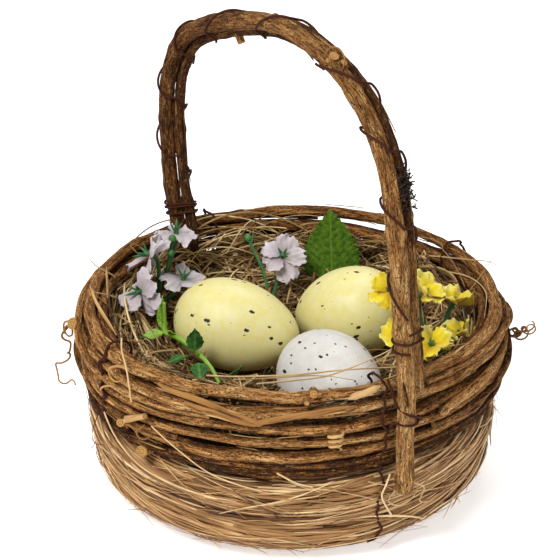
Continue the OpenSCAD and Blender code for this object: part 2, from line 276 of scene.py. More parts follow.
def plastic_material(name, deep, bright):
    """Moulded green plastic, lighter on its raised edges."""
    g = Graph(name)
    flow = g.noise(g.grain(0.2), 0.8, 3, 0.5)
    colour = g.mix(g.between(flow, 0.3, 0.75), deep, bright)
    colour = g.mix(g.between(g.tint(), 0.5, 1.0, 0.0, 0.7), colour, bright)
    return g.finish(colour, g.between(flow, 0.3, 0.7, 0.42, 0.57), (flow, 0.15, 0.0003))


def wire_material(name, deep, bright):
    """Paper-covered wire, twisted, with a dull skin."""
    g = Graph(name)
    twist = g.noise(g.grain(0.5), 2.6, 3, 0.6)
    return g.finish(g.ramp(twist, [(0.3, deep), (0.72, bright)]),
                    g.between(twist, 0.3, 0.7, 0.8, 0.6), (twist, 0.6, 0.0002), 0.12)


def cut_material(name, pale, ring, rim):
    """Sawn or snapped wood: growth rings round the stem's middle."""
    g = Graph(name)
    flat = g.vectors("MULTIPLY", g.grain(), (1, 1, 0))
    rough = g.noise(g.grain(), 1.6, 3, 0.6)
    ringed = g.maths("ADD", g.vectors("LENGTH", flat, (0, 0, 0), "Value"),
                     g.maths("MULTIPLY", rough, 0.8))
    wave = g.maths("SINE", g.maths("MULTIPLY", ringed, 5.5))
    colour = g.mix(g.between(wave, -0.4, 1.0, 0.0, 0.7), pale, ring)
    colour = g.mix(g.between(rough, 0.42, 0.3), colour, rim)
    return g.finish(colour, 0.85, (wave, 0.4, 0.0003), 0.2)


# Each material: what makes it and its colours, and a stalk's roughness
SKINS = {
    "vine_bark": (bark_material, (234, 194, 138), (204, 149, 87), (152, 100, 50),
        (66, 37, 14), (54, 24, 8)),
    "handle_bark": (bark_material, (220, 180, 124), (176, 126, 70), (126, 80, 38),
        (58, 32, 12), (46, 20, 6)),
    "straw": (strand_material, (84, 48, 16), (150, 105, 56), (194, 150, 96), (240, 208, 156)),
    "hay": (strand_material, (56, 37, 13), (124, 92, 49), (184, 148, 92), (230, 202, 148), 0.62),
    "dry_vine": (strand_material, (66, 36, 12), (126, 80, 34), (168, 120, 60),
        (206, 168, 110), 0.8),
    "dark_moss": (strand_material, (20, 11, 5), (40, 24, 12), (74, 48, 26), (112, 80, 48), 0.8),
    "straw_core": (core_material, (28, 15, 5), (84, 54, 26)),
    "hay_core": (core_material, (36, 22, 8), (108, 80, 42)),
    "cut_wood": (cut_material, (178, 138, 78), (128, 86, 42), (74, 42, 18)),
    "binding_wire": (wire_material, (32, 12, 5), (82, 40, 24)),
    "egg_yellow": (egg_material, (222, 213, 154), (218, 206, 126), (36, 28, 16)),
    "egg_white": (egg_material, (208, 205, 200), (198, 194, 186), (34, 30, 28)),
    "white_petal": (cloth_material, (190, 179, 182), (213, 206, 209), (158, 146, 149)),
    "yellow_petal": (cloth_material, (224, 200, 34), (238, 228, 132), (186, 148, 8)),
    "big_leaf": (leaf_material, (42, 80, 4), (90, 126, 24), (114, 146, 54)),
    "dark_leaf": (leaf_material, (20, 60, 22), (54, 104, 36), (96, 136, 58)),
    "green_stem": (plastic_material, (18, 70, 34), (66, 122, 54)),
    "bright_stem": (plastic_material, (76, 122, 22), (152, 192, 66)),
}
MATERIALS = {name: make(name, *[rgb(*value) if isinstance(value, tuple) else value
                                for value in values])
             for name, (make, *values) in SKINS.items()}


# ---------------------------------------------------------------- curves and meshes

def unit(v):
    return v / np.maximum(np.linalg.norm(v, axis=-1, keepdims=True), 1e-9)


def curve_at(points, t):
    """A Catmull-Rom curve through the points; t counts the points from 0."""
    p = np.asarray(points, float)
    t = np.atleast_1d(np.asarray(t, float))
    i = np.clip(np.floor(t).astype(int), 0, len(p) - 2)
    f = (t - i)[:, None]
    a, b = p[np.maximum(i - 1, 0)], p[i]
    c, d = p[i + 1], p[np.minimum(i + 2, len(p) - 1)]
    return 0.5 * (2 * b + (c - a) * f + (2 * a - 5 * b + 4 * c - d) * f ** 2
                  + (3 * b - a - 3 * c + d) * f ** 3)


def smooth(points, steps):
    return curve_at(points, np.linspace(0, len(points) - 1, (len(points) - 1) * steps + 1))


def profile_curve(rows, steps):
    """A smooth line through (radius, height) points, in the plane where Y is 0."""
    return smooth([(r, 0, z) for r, z in rows], steps)


def lengths(route):
    """How far along the route each of its points lies."""
    step = np.linalg.norm(np.diff(route, axis=0), axis=1)
    return np.concatenate([[0], np.cumsum(step)])


def resample(route, step):
    """The same route with points an even step apart."""
    s = lengths(route)
    count = max(int(round(s[-1] / step)), 2) + 1
    at = np.linspace(0, s[-1], count)
    return np.stack([np.interp(at, s, route[:, k]) for k in range(3)], axis=1)


def polar(angle, radius, z):
    """Points from degrees round the basket, radius and height."""
    a = np.radians(np.asarray(angle, float))
    return np.stack(np.broadcast_arrays(radius * np.cos(a), radius * np.sin(a), z), axis=-1)


def polar_route(rows):
    return polar(*np.transpose(rows))


def polar_curve(rows, steps, step):
    """A smooth route through the rows' points, with its own points a step apart."""
    return resample(smooth(polar_route(rows), steps), step)


def outward(points):
    """The level directions from the basket's axis to the points."""
    return unit(points * (1, 1, 0))


def axes_of(route, up=None):
    """Directions ahead, sideways and square to both at each point of a route. Where up
    isn't given, the sideways one is carried along without a twist."""
    ahead = unit(np.gradient(route, axis=0))
    if up is None:
        side = np.empty_like(ahead)
        last = UP if abs(ahead[0][2]) < 0.9 else np.array((1.0, 0, 0))
        for i, t in enumerate(ahead):
            last = last - (last @ t) * t
            last = last / np.linalg.norm(last)
            side[i] = last
    else:
        side = unit(np.cross(up, ahead))
    return ahead, side, np.cross(ahead, side)


def sway(s, wave, rng):
    """A smooth random wander from about -1 to 1 along lengths s."""
    total = np.zeros_like(s)
    for k in range(3):
        total += np.sin(TURN * s * (0.6 + 0.8 * k) / wave + rng.uniform(0, TURN)) / (k + 1)
    return total / 1.6


def turn_matrix(turn):
    """Rotation about X, then Y, then Z, in degrees."""
    return np.array(Euler(np.radians(turn)).to_matrix())


def drawn(rng, mean, spread, low, high):
    return np.clip(rng.normal(mean, spread), low, high)


def stalk_radius(rng, middle, spread=0.3):
    return rng.lognormal(math.log(middle), spread)


def around(a, first, second):
    """The directions at angles a from the first one, towards the second."""
    return np.cos(a)[:, None] * first + np.sin(a)[:, None] * second


def ring_angles(sides):
    return TURN * np.arange(sides) / sides


def grid_corners(rows, columns, around):
    """The corners of each cell in a grid of points, which may close on itself."""
    i, j = np.meshgrid(np.arange(rows - 1), np.arange(columns - 1 + around), indexing="ij")
    k = (j + 1) % columns
    return np.stack([i * columns + j, i * columns + k, (i + 1) * columns + k,
                     (i + 1) * columns + j], axis=-1)


class Form:
    """Gathers swept tubes and sheets, in millimetres, into one mesh object."""

    def __init__(self):
        self.verts, self.tints, self.grains = [], [], []
        self.corners, self.slots = {4: [], 3: []}, {4: [], 3: []}
        self.count = 0

    def points(self, verts, tint, grain):
        """Adds points and says what number the first of them has."""
        verts = np.reshape(verts, (-1, 3))
        self.verts.append(verts)
        self.tints.append(np.broadcast_to(np.ravel(tint), len(verts)))
        self.grains.append(np.reshape(grain, (-1, 3)))
        self.count += len(verts)
        return self.count - len(verts)

    def faces(self, corners, slot=0):
        """Adds faces of three or four corners, in an array of any shape."""
        sides = corners.shape[-1]
        self.corners[sides].append(corners.reshape(-1, sides))
        self.slots[sides].append(np.full(corners.size // sides, slot))

    def tube(self, route, radius, sides=8, flat=1.0, up=None, shape=1, tint=0.5,
             cap_slot=0, grain_from=0.0):
        """A stem swept along the route. up is the direction its thin side faces."""
        n = len(route)
        _, side, rise = axes_of(route, up)
        a = ring_angles(sides)
        x, y = np.cos(a)[:, None], np.sin(a)[:, None]
        r = np.broadcast_to(radius, n)[:, None] * shape
        verts = route[:, None] + (x * side[:, None] + flat * y * rise[:, None]) * r[..., None]
        s = lengths(route) + grain_from
        grain = np.mean(radius) * np.hstack([x, y, 0 * x]) + s[:, None, None] * UP
        tints = np.asarray(tint, float)
        tints = np.broadcast_to(tints if tints.ndim == 2 else tints.reshape(-1, 1), (n, sides))
        self.faces(grid_corners(n, sides, True) + self.points(verts, tints, grain))
        for end, order in ((0, -1), (-1, 1)):
            first = self.points(np.append(verts[end][::order], route[[end]], axis=0),
                                tints[end].mean(),
                                np.append(grain[end][::order], [[0, 0, s[end]]], axis=0))
            self.fan(np.arange(sides) + first, first + sides, cap_slot)

    def fan(self, rim, middle, slot=0):
        """Triangles from each side of a closed rim to its middle point."""
        self.faces(np.stack([rim, np.roll(rim, -1), np.full_like(rim, middle)], axis=-1), slot)

    def stalk(self, rng, route, radius, sides, flat, up, tint):
        """A dry stalk; tint is the mean, spread, least and most that it may draw."""
        self.tube(route, radius, sides, flat, up, tint=drawn(rng, *tint),
                  grain_from=rng.uniform(0, GRAIN_SPAN))

    def sheet(self, front, thickness, tint, grain):
        """A thin sheet from a grid of points, given a back and an edge all round."""
        rows, columns = front.shape[:2]
        normal = unit(np.cross(np.gradient(front, axis=0), np.gradient(front, axis=1)))
        tint = np.broadcast_to(tint, (rows, columns))
        first = self.points(front, tint, grain)
        second = self.points(front - thickness * normal, tint, grain)
        grid = grid_corners(rows, columns, False)
        self.faces(grid[..., [0, 3, 2, 1]] + first)
        self.faces(grid[..., [1, 2, 3, 0]] + second)
        number = np.arange(rows * columns).reshape(rows, columns)
        rim = np.concatenate([number[0], number[1:, -1], number[-1, -2::-1], number[-2:0:-1, 0]])
        after = np.roll(rim, -1)
        self.faces(np.stack([rim + first, after + first, after + second, rim + second], axis=-1))

    def revolve(self, profile, segments, lumps=None, tint=0.5):
        """A profile of (radius, height) points turned about Z; both ends lie on Z."""
        profile = np.asarray(profile, float)
        r, z = profile[1:-1].T[:, :, None]
        a = ring_angles(segments)
        verts = np.stack(np.broadcast_arrays(r * np.cos(a), r * np.sin(a), z), axis=-1)
        if lumps:
            verts = verts + lumps(verts)
        first = self.points(verts, tint, verts)
        ends = np.array([[0, 0, profile[0][1]], [0, 0, profile[-1][1]]])
        pole = self.points(ends, tint, ends)
        self.faces(grid_corners(len(r), segments, True) + first)
        rim = np.arange(first, first + segments)
        self.faces(np.stack([np.roll(rim, -1), rim, np.full(segments, pole)], axis=-1))
        self.fan(rim + (len(r) - 1) * segments, pole + 1)

    def build(self, name, skins, *replaced, slot=None, body="root"):
        """Makes the object, rides it on its body and hides the imported parts that it replaces.
        The slot argument is not used."""
        skins = skins.split()
        mesh = bpy.data.meshes.new(name)
        verts = np.concatenate(self.verts) * MM
        quads, tris = (np.concatenate(self.corners[n] or [np.zeros((0, n), int)]) for n in (4, 3))
        loops = np.concatenate([quads.ravel(), tris.ravel()])
        starts = np.concatenate([np.arange(0, quads.size, 4),
                                 quads.size + np.arange(0, tris.size, 3)])
        mesh.vertices.add(len(verts))
        mesh.vertices.foreach_set("co", verts.ravel())
        mesh.loops.add(len(loops))
        mesh.loops.foreach_set("vertex_index", loops)
        mesh.polygons.add(len(starts))
        mesh.polygons.foreach_set("loop_start", starts)
        mesh.polygons.foreach_set("material_index", np.concatenate(self.slots[4] + self.slots[3]))
        mesh.polygons.foreach_set("use_smooth", np.ones(len(starts), bool))
        mesh.update(calc_edges=True)
        tint = mesh.attributes.new("tint", "FLOAT", "POINT")
        tint.data.foreach_set("value", np.concatenate(self.tints).astype(np.float32))
        grain = mesh.attributes.new("grain", "FLOAT_VECTOR", "POINT")
        grain.data.foreach_set("vector", np.concatenate(self.grains).ravel().astype(np.float32))
        for skin in skins:
            mesh.materials.append(MATERIALS[skin])
        piece = bpy.data.objects.new(name, mesh)
        scene.collection.objects.link(piece)
        if replaced:
            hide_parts(*replaced)
        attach(piece, body)


# ---------------------------------------------------------------- vines

HOOP_R = 97.5
RIM_Z = 88
CUT_GAP = 1.6
# Each hoop: radius below HOOP_R, height below RIM_Z, stem radius, angle of its cut ends, tint
HOOPS = [
    (3, 0, 3.2, 222, 0.9), (0.5, 7, 3.3, 118, 1.0), (0, 14.8, 3.4, 250, 0.75),
    (0.5, 21.8, 3.0, 64, 0.85), (1.5, 29.2, 3.5, 152, 0.8), (2.5, 37, 3.3, 205, 0.1),
]
# Painted shade: the hoops are painted darker round the back, by up to twice this much
BACK_SHADE = 0.22
PAINTED_LIT_AZIMUTH = -28
INNER_R = 88.5
INNER_STEM_R = 2.4


def sind(a):
    return np.sin(np.radians(a))


def wander_r(a):
    return 1.1 * sind(2 * a - 40) + 0.5 * sind(3 * a - 60)


def wander_z(a):
    return 0.8 * sind(2 * a + 60) + 0.4 * sind(5 * a)


def rim_lift(a):
    """The rim hoop lifts off the one below at the back."""
    d = np.abs(a % 360 - 128)
    return np.where(d < 40, 3.5 * np.cos(np.radians(np.minimum(d, 40) * 90 / 40)) ** 2, 0)


def vine_arc(r, z, start, end, steps):
    a = np.linspace(start, end, steps + 1)
    return polar(a, r + wander_r(a), z + wander_z(a))


def wandering(rows, steps):
    """A smooth route through azimuths, with radii and heights above the hoops' wander."""
    a, r, z = smooth(rows, steps).T
    return polar(a, r + wander_r(a), z + wander_z(a))


def bark_shape(s, sides, rng, depth):
    """Ridges and grooves that run along a stem and drift round it, finely uneven."""
    a = ring_angles(sides)
    shape = np.ones((len(s), sides))
    for waves, share in ((2, 0.9), (3, 0.8), (5, 0.7), (8, 0.5), (11, 0.35)):
        phase = rng.uniform(0, TURN) + 0.9 * sway(s, 70, rng)
        swell = 0.65 + 0.35 * sway(s, 40, rng)
        shape += depth * share * swell[:, None] * np.cos(waves * a[None] + phase[:, None])
    for _ in range(3):
        middle = rng.uniform(0, TURN) + 0.8 * sway(s, 60, rng)
        off = (a[None] - middle[:, None] + math.pi) % TURN - math.pi
        deep = np.clip(0.4 + sway(s, 34, rng), 0, 1)
        shape -= 2.2 * depth * deep[:, None] * np.exp(-(off / 0.2) ** 2)
    fine = rng.normal(0, depth * 0.55, (len(s), sides))
    fine = (fine + np.roll(fine, 1, 0) + np.roll(fine, -1, 0)) / 3
    return shape + fine


def vine(form, route, radius, rng, sides, tint, step=1.5, depth=0.06, wobble=0.35,
         knot_every=75, swell=0.08, painted_shade=(0, 0)):
    """A bark-covered stem: uneven, ridged and swollen at its knots, with cut ends. Its top
    and underside are darkened by painted_shade, as painted shade between it and its neighbours."""
    route = resample(route, step)
    s = lengths(route)
    _, side, rise = axes_of(route)
    route = (route + wobble * sway(s, 74, rng)[:, None] * side
             + wobble * sway(s, 61, rng)[:, None] * rise)
    r = radius * (1 + swell * sway(s, 130, rng))
    at = rng.uniform(10, knot_every)
    while at < s[-1]:
        r = r * (1 + rng.uniform(0.08, 0.22) * np.exp(-((s - at) / rng.uniform(1.8, 3.4)) ** 2))
        at += knot_every * rng.uniform(0.6, 1.4)
    shape = bark_shape(s, sides, rng, depth)
    if callable(tint):
        tint = tint(s / s[-1])[:, None]
    a = ring_angles(sides)
    _, side, rise = axes_of(route)
    height = np.cos(a) * side[:, 2:] + np.sin(a) * rise[:, 2:]
    # Painted shade: darker where the stem faces up or down, towards its neighbours
    tint = tint - painted_shade[0] * np.clip(height, 0, 1) ** 2 - painted_shade[1] * np.clip(-height, 0, 1) ** 2
    form.tube(route, r, sides, shape=shape, tint=tint, cap_slot=1,
              grain_from=rng.uniform(0, GRAIN_SPAN))


def peel(form, route, radius, rng, count, longest=26, lift=1.3):
    """Thin strips of bark that lie along a stem and spring off it at one end."""
    route = resample(route, 1.0)
    _, side, rise = axes_of(route)
    for _ in range(count):
        length = int(rng.uniform(7, longest))
        if length + 4 > len(route):
            continue
        first = rng.integers(0, len(route) - length - 1)
        part = slice(first, first + length)
        f = np.linspace(0, 1, length)
        a = rng.uniform(0, TURN) + rng.normal(0, 0.25) * f
        out = around(a, side[part], rise[part])
        spring = rng.uniform(0.2, lift) * (f if rng.uniform() < 0.5 else 1 - f) ** 3
        line = route[part] + (radius + 0.15 + spring)[:, None] * out
        width = rng.uniform(0.25, 0.75) * np.clip(np.minimum(f, 1 - f) * 6, 0.25, 1)
        form.stalk(rng, line, width, 6, 0.4, out, (0.62, 0.22, 0.05, 1))


def stub(form, foot, tip, r, rng, sides):
    """A side shoot cut short, with its pale cut face."""
    route = foot + (tip - foot) * np.linspace(0, 1, 9)[:, None]
    s = lengths(route)
    r = r * np.interp(s / s[-1], [0, 0.3, 0.8, 1], [1.35, 1.02, 0.98, 1.06])
    form.tube(route, r, sides, shape=bark_shape(s, sides, rng, 0.05),
              tint=rng.uniform(0.5, 1), cap_slot=1, grain_from=rng.uniform(0, 99))


def build_hoops():
    strips = Form()
    for n, (inward, below, r, cut, tint) in enumerate(HOOPS, 1):
        rng = np.random.default_rng(100 + n)
        a = np.linspace(cut + CUT_GAP / 2, cut + 360 - CUT_GAP / 2, 181)
        route = vine_arc(HOOP_R - inward, RIM_Z - below, a[0], a[-1], 180)
        if n == 1:
            route[:, 2] += rim_lift(a)

        # Painted shade: darker the further round from the front
        def shaded(f):
            return tint - BACK_SHADE * (1 - np.cos(np.radians(cut + 360 * f - PAINTED_LIT_AZIMUTH)))

        form = Form()
        # Painted shade between the hoops: tops darkened except on the rim hoop, undersides on all
        vine(form, route, 0.85 * r, rng, 30, shaded, wobble=0.85, swell=0.15, depth=0.075,
             painted_shade=(0 if n == 1 else 0.6, 1.0))
        form.build(f"vine_hoop_{n}_bark", "vine_bark cut_wood", f"vine_hoop_{n}")
        peel(strips, route, 0.9 * r, rng, 30)
    strips.build("hoop_bark_strips", "dry_vine", slot="vine_bark")


def build_inner_vines():
    arcs = {
        "inner_vine_front": (INNER_R, RIM_Z - 4, 198, 346),
        "inner_vine_back": (INNER_R, RIM_Z - 4, -6, 172),
        "inner_vine_low": (INNER_R + 0.5, RIM_Z - 12, 198, 532),
    }
    for k, (name, arc) in enumerate(arcs.items()):
        form = Form()
        vine(form, vine_arc(*arc, 120), INNER_STEM_R, np.random.default_rng(120 + k), 20, 0.45,
             painted_shade=(0.1, 0.8))
        form.build(name + "_bark", "vine_bark cut_wood", name)


# Thinner vines that run in the hollows between the hoops and cross over them here and
# there: radius, tint and a route of azimuth, radius and height above the hoops' own wander
LOOSE_VINES = [
    (1.7, 0.95, [(-150, 97.6, 85.6), (-132, 98.4, 85.2), (-118, 99.6, 84.4), (-107, 101.6, 81.0),
      (-97, 100.2, 77.4), (-80, 99.7, 77.0), (-66, 99.5, 77.0), (-54, 98.0, 77.2)]),
    (1.5, 0.6, [(-146, 99.6, 69.8), (-128, 99.9, 69.5), (-115, 101.2, 66.2), (-103, 99.4, 62.3),
      (-90, 98.9, 62.2), (-76, 98.6, 62.4), (-64, 97.6, 62.0)]),
    (1.6, 0.75, [(6, 98.0, 85.2), (24, 98.3, 85.4), (44, 99.6, 84.6), (58, 101.4, 81.2),
      (74, 100.0, 77.2), (100, 99.6, 77.2), (130, 99.4, 77.4), (152, 98.6, 77)]),
    (1.8, 0.5, [(8, 99.0, 62.2), (34, 99.3, 62.6), (46, 101.2, 66.0), (60, 100.3, 69.6),
      (96, 99.6, 69.6), (126, 99.6, 69.8)]),
    (1.6, 0.85, [(118, 98.9, 62.2), (165, 98.8, 62.4), (188, 101.0, 66.2), (200, 100.0, 69.7),
      (222, 101.4, 73.2), (238, 99.8, 77.2)]),
    (1.3, 0.3, [(-66, 97.9, 54.7), (-30, 98.0, 54.6), (10, 97.8, 54.8), (40, 97.9, 54.6),
      (62, 97.2, 54.8)]),
    (1.5, 0.7, [(140, 98.3, 85.3), (170, 98.0, 85.2), (200, 98.2, 85.4), (214, 97.4, 85.6)]),
    (1.3, 0.85, [(10, 99.3, 70.0), (24, 99.7, 69.6), (38, 99.4, 69.8), (52, 98.6, 69.7)]),
    (1.9, 1.0, [(48, 99.0, 77.2), (38, 100.6, 76.6), (28, 101.8, 75.2), (18, 102.6, 73.4),
      (11.5, 102.8, 71.6), (9.4, 101.4, 68.4)]),
]
# The split vine lies over the hoops in front, in two lengths that meet at a kink and a
# splinter; its radius goes through SPLIT_RADII
SPLIT_STRIPS = [
    [(-68.6, 99.9, 87.4), (-64, 100.5, 86.6), (-55.5, 100.7, 85.6), (-47.6, 100.9, 82.0),
     (-41.4, 101.1, 79.2), (-39.4, 101.0, 78.4)],
    [(-42.4, 100.7, 78.6), (-39.6, 101.1, 79.4), (-32.7, 101.0, 82.4), (-25.4, 100.7, 84.0),
     (-21, 100.5, 84.8), (-17.8, 100.1, 85.2)],
    [(-60, 101.1, 83.2), (-52, 101.5, 81.4), (-44, 101.5, 78.8), (-40, 101.1, 77.8)],
]
SPLIT_RADII = 0.85 * np.array((0.9, 1.5, 1.9, 2.0, 1.7, 0.8))
SIDE_TWIG_ROUTE = [(-71.5, 103.4, 70.5), (-76, 102.2, 66.0), (-80.2, 100.8, 61.4)]
CURL_CENTRE = polar(-21.5, 102.6, 70)
CURL_TURNS = 3.1
CURL_R = 3.3
CURL_HALF = 4.0


def build_loose_vines():
    for n, (r, tint, rows) in enumerate(LOOSE_VINES, 1):
        form = Form()
        vine(form, wandering(rows, 14), r, np.random.default_rng(124 + n), 18, tint,
             wobble=0.25, swell=0.12, painted_shade=(0.4, 0.8))
        form.build(f"loose_vine_{n}", "vine_bark cut_wood")


def build_small_vines():
    rng = np.random.default_rng(130)
    form = Form()
    for rows in SPLIT_STRIPS:
        route = polar_route(smooth(rows, 10))
        f = np.linspace(0, 1, len(route))
        r = np.interp(f, np.linspace(0, 1, len(SPLIT_RADII)), SPLIT_RADII)
        form.tube(route, r, 14, flat=0.6, up=outward(route), tint=0.62,
                  shape=bark_shape(lengths(route), 14, rng, 0.07), cap_slot=1)
        peel(form, route, 1.2, rng, 6, 16)
    form.build("split_vine_strip", "dry_vine cut_wood", "split_vine", slot="vine_bark")
    form = Form()
    route = smooth(polar_route(SIDE_TWIG_ROUTE), 10)
    form.tube(route, np.linspace(1.3, 1.75, len(route)), 14, cap_slot=1,
              tint=np.linspace(0.75, 0.95, len(route)),
              shape=bark_shape(lengths(route), 14, rng, 0.07))
    form.build("side_twig_stub", "dry_vine cut_wood", "side_twig", slot="cut_wood")
    form = Form()
    f = np.linspace(0, 1, 90)
    out = outward(CURL_CENTRE)
    a = TURN * CURL_TURNS * f
    round_it = around(a, np.cross(UP, out), out)
    route = (CURL_CENTRE + (CURL_R - 0.8 * f)[:, None] * round_it
             + (CURL_HALF * (1 - 2 * f) + 0.9 * np.sin(a))[:, None] * UP)
    form.tube(route, 0.7 - 0.1 * f, 10, flat=0.85, up=round_it, tint=1 - 0.15 * f)
    form.build("curled_twig_ribbon", "dry_vine", "curled_twig")


# ---------------------------------------------------------------- handle

HANDLE_LINE = [
    (-84, -9, 60), (-85, -8, 88), (-93, -8, 116), (-100, -6, 146), (-99, -4, 171),
    (-84, -2.5, 194.5), (-46, 0, 213), (0, 0, 224), (46, 0, 217), (74, 0, 196),
    (89, -1, 165), (96.5, -2, 125), (103, -2.7, 92), (104, -3, 70), (104, -3, 40),
]
# Each stem: offset outwards, offset along Y, radius, first and last place on the line
STEMS = {
    "handle_stem_main": (0.5, -3.4, 3.9, 0, 14),
    "handle_stem_outer": (-0.5, 3.6, 2.5, 0, 12.2),
    "handle_stem_inner": (-5.2, 0.6, 2.2, 0.1, 11.7),
}
# Each spur: place on the line, offset outwards, offset along Y, radius, length
SPURS = ((7.8, 4.2, -4.4, 2.2, 2.2), (7.92, 4.4, -2.6, 1.4, 2.0), (5.9, -7.2, 0.6, 1.9, 3.6))
KNOT_LOOP = [(34.5, -4.4, 221.5), (36, -5, 226), (39.5, -4.6, 229.4), (44.5, -4, 229.6),
             (47.6, -3.6, 226.4), (47, -4, 222), (44, -4.6, 219)]
WIRE_R = 0.6
WIRE_STEP = 0.8
WRAP_GAP = 0.4
# Each wrap of wire: first and last place on the handle's line, turns, unevenness
WRAPS = {"handle_binding": (1.9, 11.1, 9, 0.14), "front_lashing": (11.25, 11.5, 2, 0.03),
         "back_lashing": (1.35, 1.7, 3, 0.06)}
MOSS_THREADS = 170
MOSS_PLACE = 9.62
Y_AXIS = np.array((0, 1.0, 0))
# How light each stem's bark is along its length: dark on the back leg and lighter from the top to
# the front leg, partly its own bark colour and partly painted shade, and burnt on the outer one
STEM_TINTS = {
    "handle_stem_main": lambda f: np.interp(f, [0, 0.36, 0.46, 0.7, 0.8, 1],
                                            [0.25, 0.35, 0.75, 0.72, 1.0, 0.9]),
    "handle_stem_outer": lambda f: np.interp(f, [0, 0.4, 0.6, 0.7, 0.82, 0.86, 1],
                                             [0.15, 0.25, 0.35, 0.05, 0.15, 0.75, 0.95]),
    "handle_stem_inner": lambda f: np.interp(f, [0, 0.5, 0.8, 1], [0.1, 0.2, 0.3, 0.5]),
}


def handle_along(t):
    return unit(curve_at(HANDLE_LINE, np.minimum(t + 0.1, 14))
                - curve_at(HANDLE_LINE, np.maximum(t - 0.1, 0)))


def handle_out(t):
    return unit(np.cross(handle_along(t), Y_AXIS))


def off_handle(t, outwards, along_y):
    """Points off the handle's line, so far outwards and along Y."""
    return curve_at(HANDLE_LINE, t) + outwards * handle_out(t) + along_y * Y_AXIS


def build_handle():
    for k, (name, (outwards, along_y, r, start, end)) in enumerate(STEMS.items()):
        route = off_handle(np.linspace(start, end, 260), outwards, along_y)
        form = Form()
        rng = np.random.default_rng(140 + k)
        vine(form, route, r, rng, 36, STEM_TINTS[name], step=1.2, depth=0.066, wobble=0.3,
             knot_every=55, swell=0.07)
        peel(form, route, r, rng, 26, 30, 0.9)
        form.build(name + "_bark", "handle_bark cut_wood", name)


def build_handle_details():
    form = Form()
    rng = np.random.default_rng(150)
    for place, outwards, along_y, r, length in SPURS:
        out = np.sign(outwards) * handle_out(place)[0]
        foot = off_handle(place, outwards, along_y)[0]
        tip = foot + length * (0.4 * handle_along(place)[0] + out)
        stub(form, foot - out, tip, r, rng, 14)
    form.build("handle_spur_stubs", "handle_bark cut_wood", "handle_spurs", slot="cut_wood")
    form = Form()
    form.tube(resample(smooth(KNOT_LOOP, 10), 0.6), 0.38)
    form.build("handle_knot_tendril", "dry_vine")
    form = Form()
    f = np.linspace(0, 1, 8)[:, None]
    for _ in range(MOSS_THREADS):
        t = drawn(rng, MOSS_PLACE, 0.14, 9.2, 9.9)
        foot = off_handle(t, rng.uniform(1.0, 3.5), rng.uniform(-1.5, 6.0))[0]
        lean = unit(handle_out(t)[0] + rng.normal(0, 0.8, 3))
        curl = unit(rng.normal(0, 1, 3))
        longest = 1.4 + 1.8 * max(1 - abs(t - 9.6) / 0.5, 0)
        route = (foot + rng.uniform(0.8, longest) * f * lean
                 + rng.uniform(0.6, 2.0) * np.sin(4.2 * f) * curl)
        form.tube(route, rng.uniform(0.14, 0.36), 5, tint=rng.uniform(0, 0.8))
    form.build("handle_moss", "dark_moss", slot="dry_vine")


def wrap_route(start, end, turns, uneven, rng):
    """A wire pulled tight round the bundle of stems, from hull point to hull point."""
    f = np.linspace(0, 1, int(turns * 60) + 1)
    t = start + (end - start) * f + uneven * sway(f * turns, 2.3, rng)
    a = TURN * turns * f
    stems = np.array([stem[:3] for stem in STEMS.values()])
    reach = stems[:, :1] * np.cos(a) + stems[:, 1:2] * np.sin(a) + stems[:, 2:3]
    chosen = stems[np.argmax(reach, axis=0)]
    r = chosen[:, 2] + WIRE_R + WRAP_GAP + 0.15 * sway(f * turns, 0.8, rng)
    return off_handle(t, (chosen[:, 0] + r * np.cos(a))[:, None],
                      (chosen[:, 1] + r * np.sin(a))[:, None])


TIE_LINE = [
    (85.2, 70.5), (85.2, 79), (85.4, 88.2), (90, 93.2), (96.4, 93.4), (99.6, 88.6),
    (101.6, 81), (102.2, 73.2), (101.4, 66), (101, 58.8), (99.8, 51), (98.4, 45),
    (97.6, 37), (95.4, 22), (94.2, 11.5), (87, 4.4),
]
TIE_BOWL_Z = 46
TIES = {"tie_wire_front": -8, "tie_wire_left": -90, "tie_wire_right": 90, "tie_wire_back": 174.5}
# These ties run under the straw below the hoops
UNDER_STRAW = ("tie_wire_left", "tie_wire_back")
# The front tie also loops once round the handle's foot, as azimuth, radius, height
FRONT_HOOK = [
    (-6.5, 96.5, 93.4), (-6.2, 100.6, 88), (-5.8, 103.6, 83), (-4.4, 108.0, 80.6),
    (-2.4, 109.0, 78.8), (-0.6, 107.4, 77.2), (-0.2, 104.4, 76.0), (-1.2, 107.6, 75.2),
    (-3.2, 108.9, 74.8), (-5.2, 106.6, 74.9), (-6.4, 103.0, 74.6), (-7.2, 101.9, 72.0),
]


def build_wires():
    for k, (name, wrap) in enumerate(WRAPS.items()):
        form = Form()
        route = wrap_route(*wrap, np.random.default_rng(160 + k))
        form.tube(resample(route, WIRE_STEP), WIRE_R)
        form.build(name + "_wire", "binding_wire", name)
    hoop_z = RIM_Z - np.array([below for _, below, *_ in HOOPS])
    for k, (name, angle) in enumerate(TIES.items()):
        rng = np.random.default_rng(170 + k)
        line = profile_curve(TIE_LINE, 12)
        r, _, z = line.T
        on_hoops = z > TIE_BOWL_Z
        outside = (r > 98) & on_hoops
        gap = np.min(np.abs(z[:, None] - hoop_z), axis=1)
        dip = np.where(outside, np.clip(gap - 1.8, 0, 2.2), 0)
        a = angle + 1.1 * sway(lengths(line), 15, rng)
        if name in UNDER_STRAW:
            r = r - np.interp(z, [40, 47], [3.0, 0])
        route = polar(a, r - 0.7 * outside - 0.35 * dip + on_hoops * wander_r(angle),
                      z + on_hoops * wander_z(angle))
        form = Form()
        form.tube(resample(route, WIRE_STEP), WIRE_R)
        if name == "tie_wire_front":
            form.tube(polar_curve(FRONT_HOOK, 10, 0.7), WIRE_R)
        if name == "tie_wire_left":
            form.tube(curly(route[(z > 52) & (z < 92) & (r > 92)], 10, 1.25, rng), WIRE_R)
        form.build(name + "_loop", "binding_wire", name)


# ---------------------------------------------------------------- tendrils

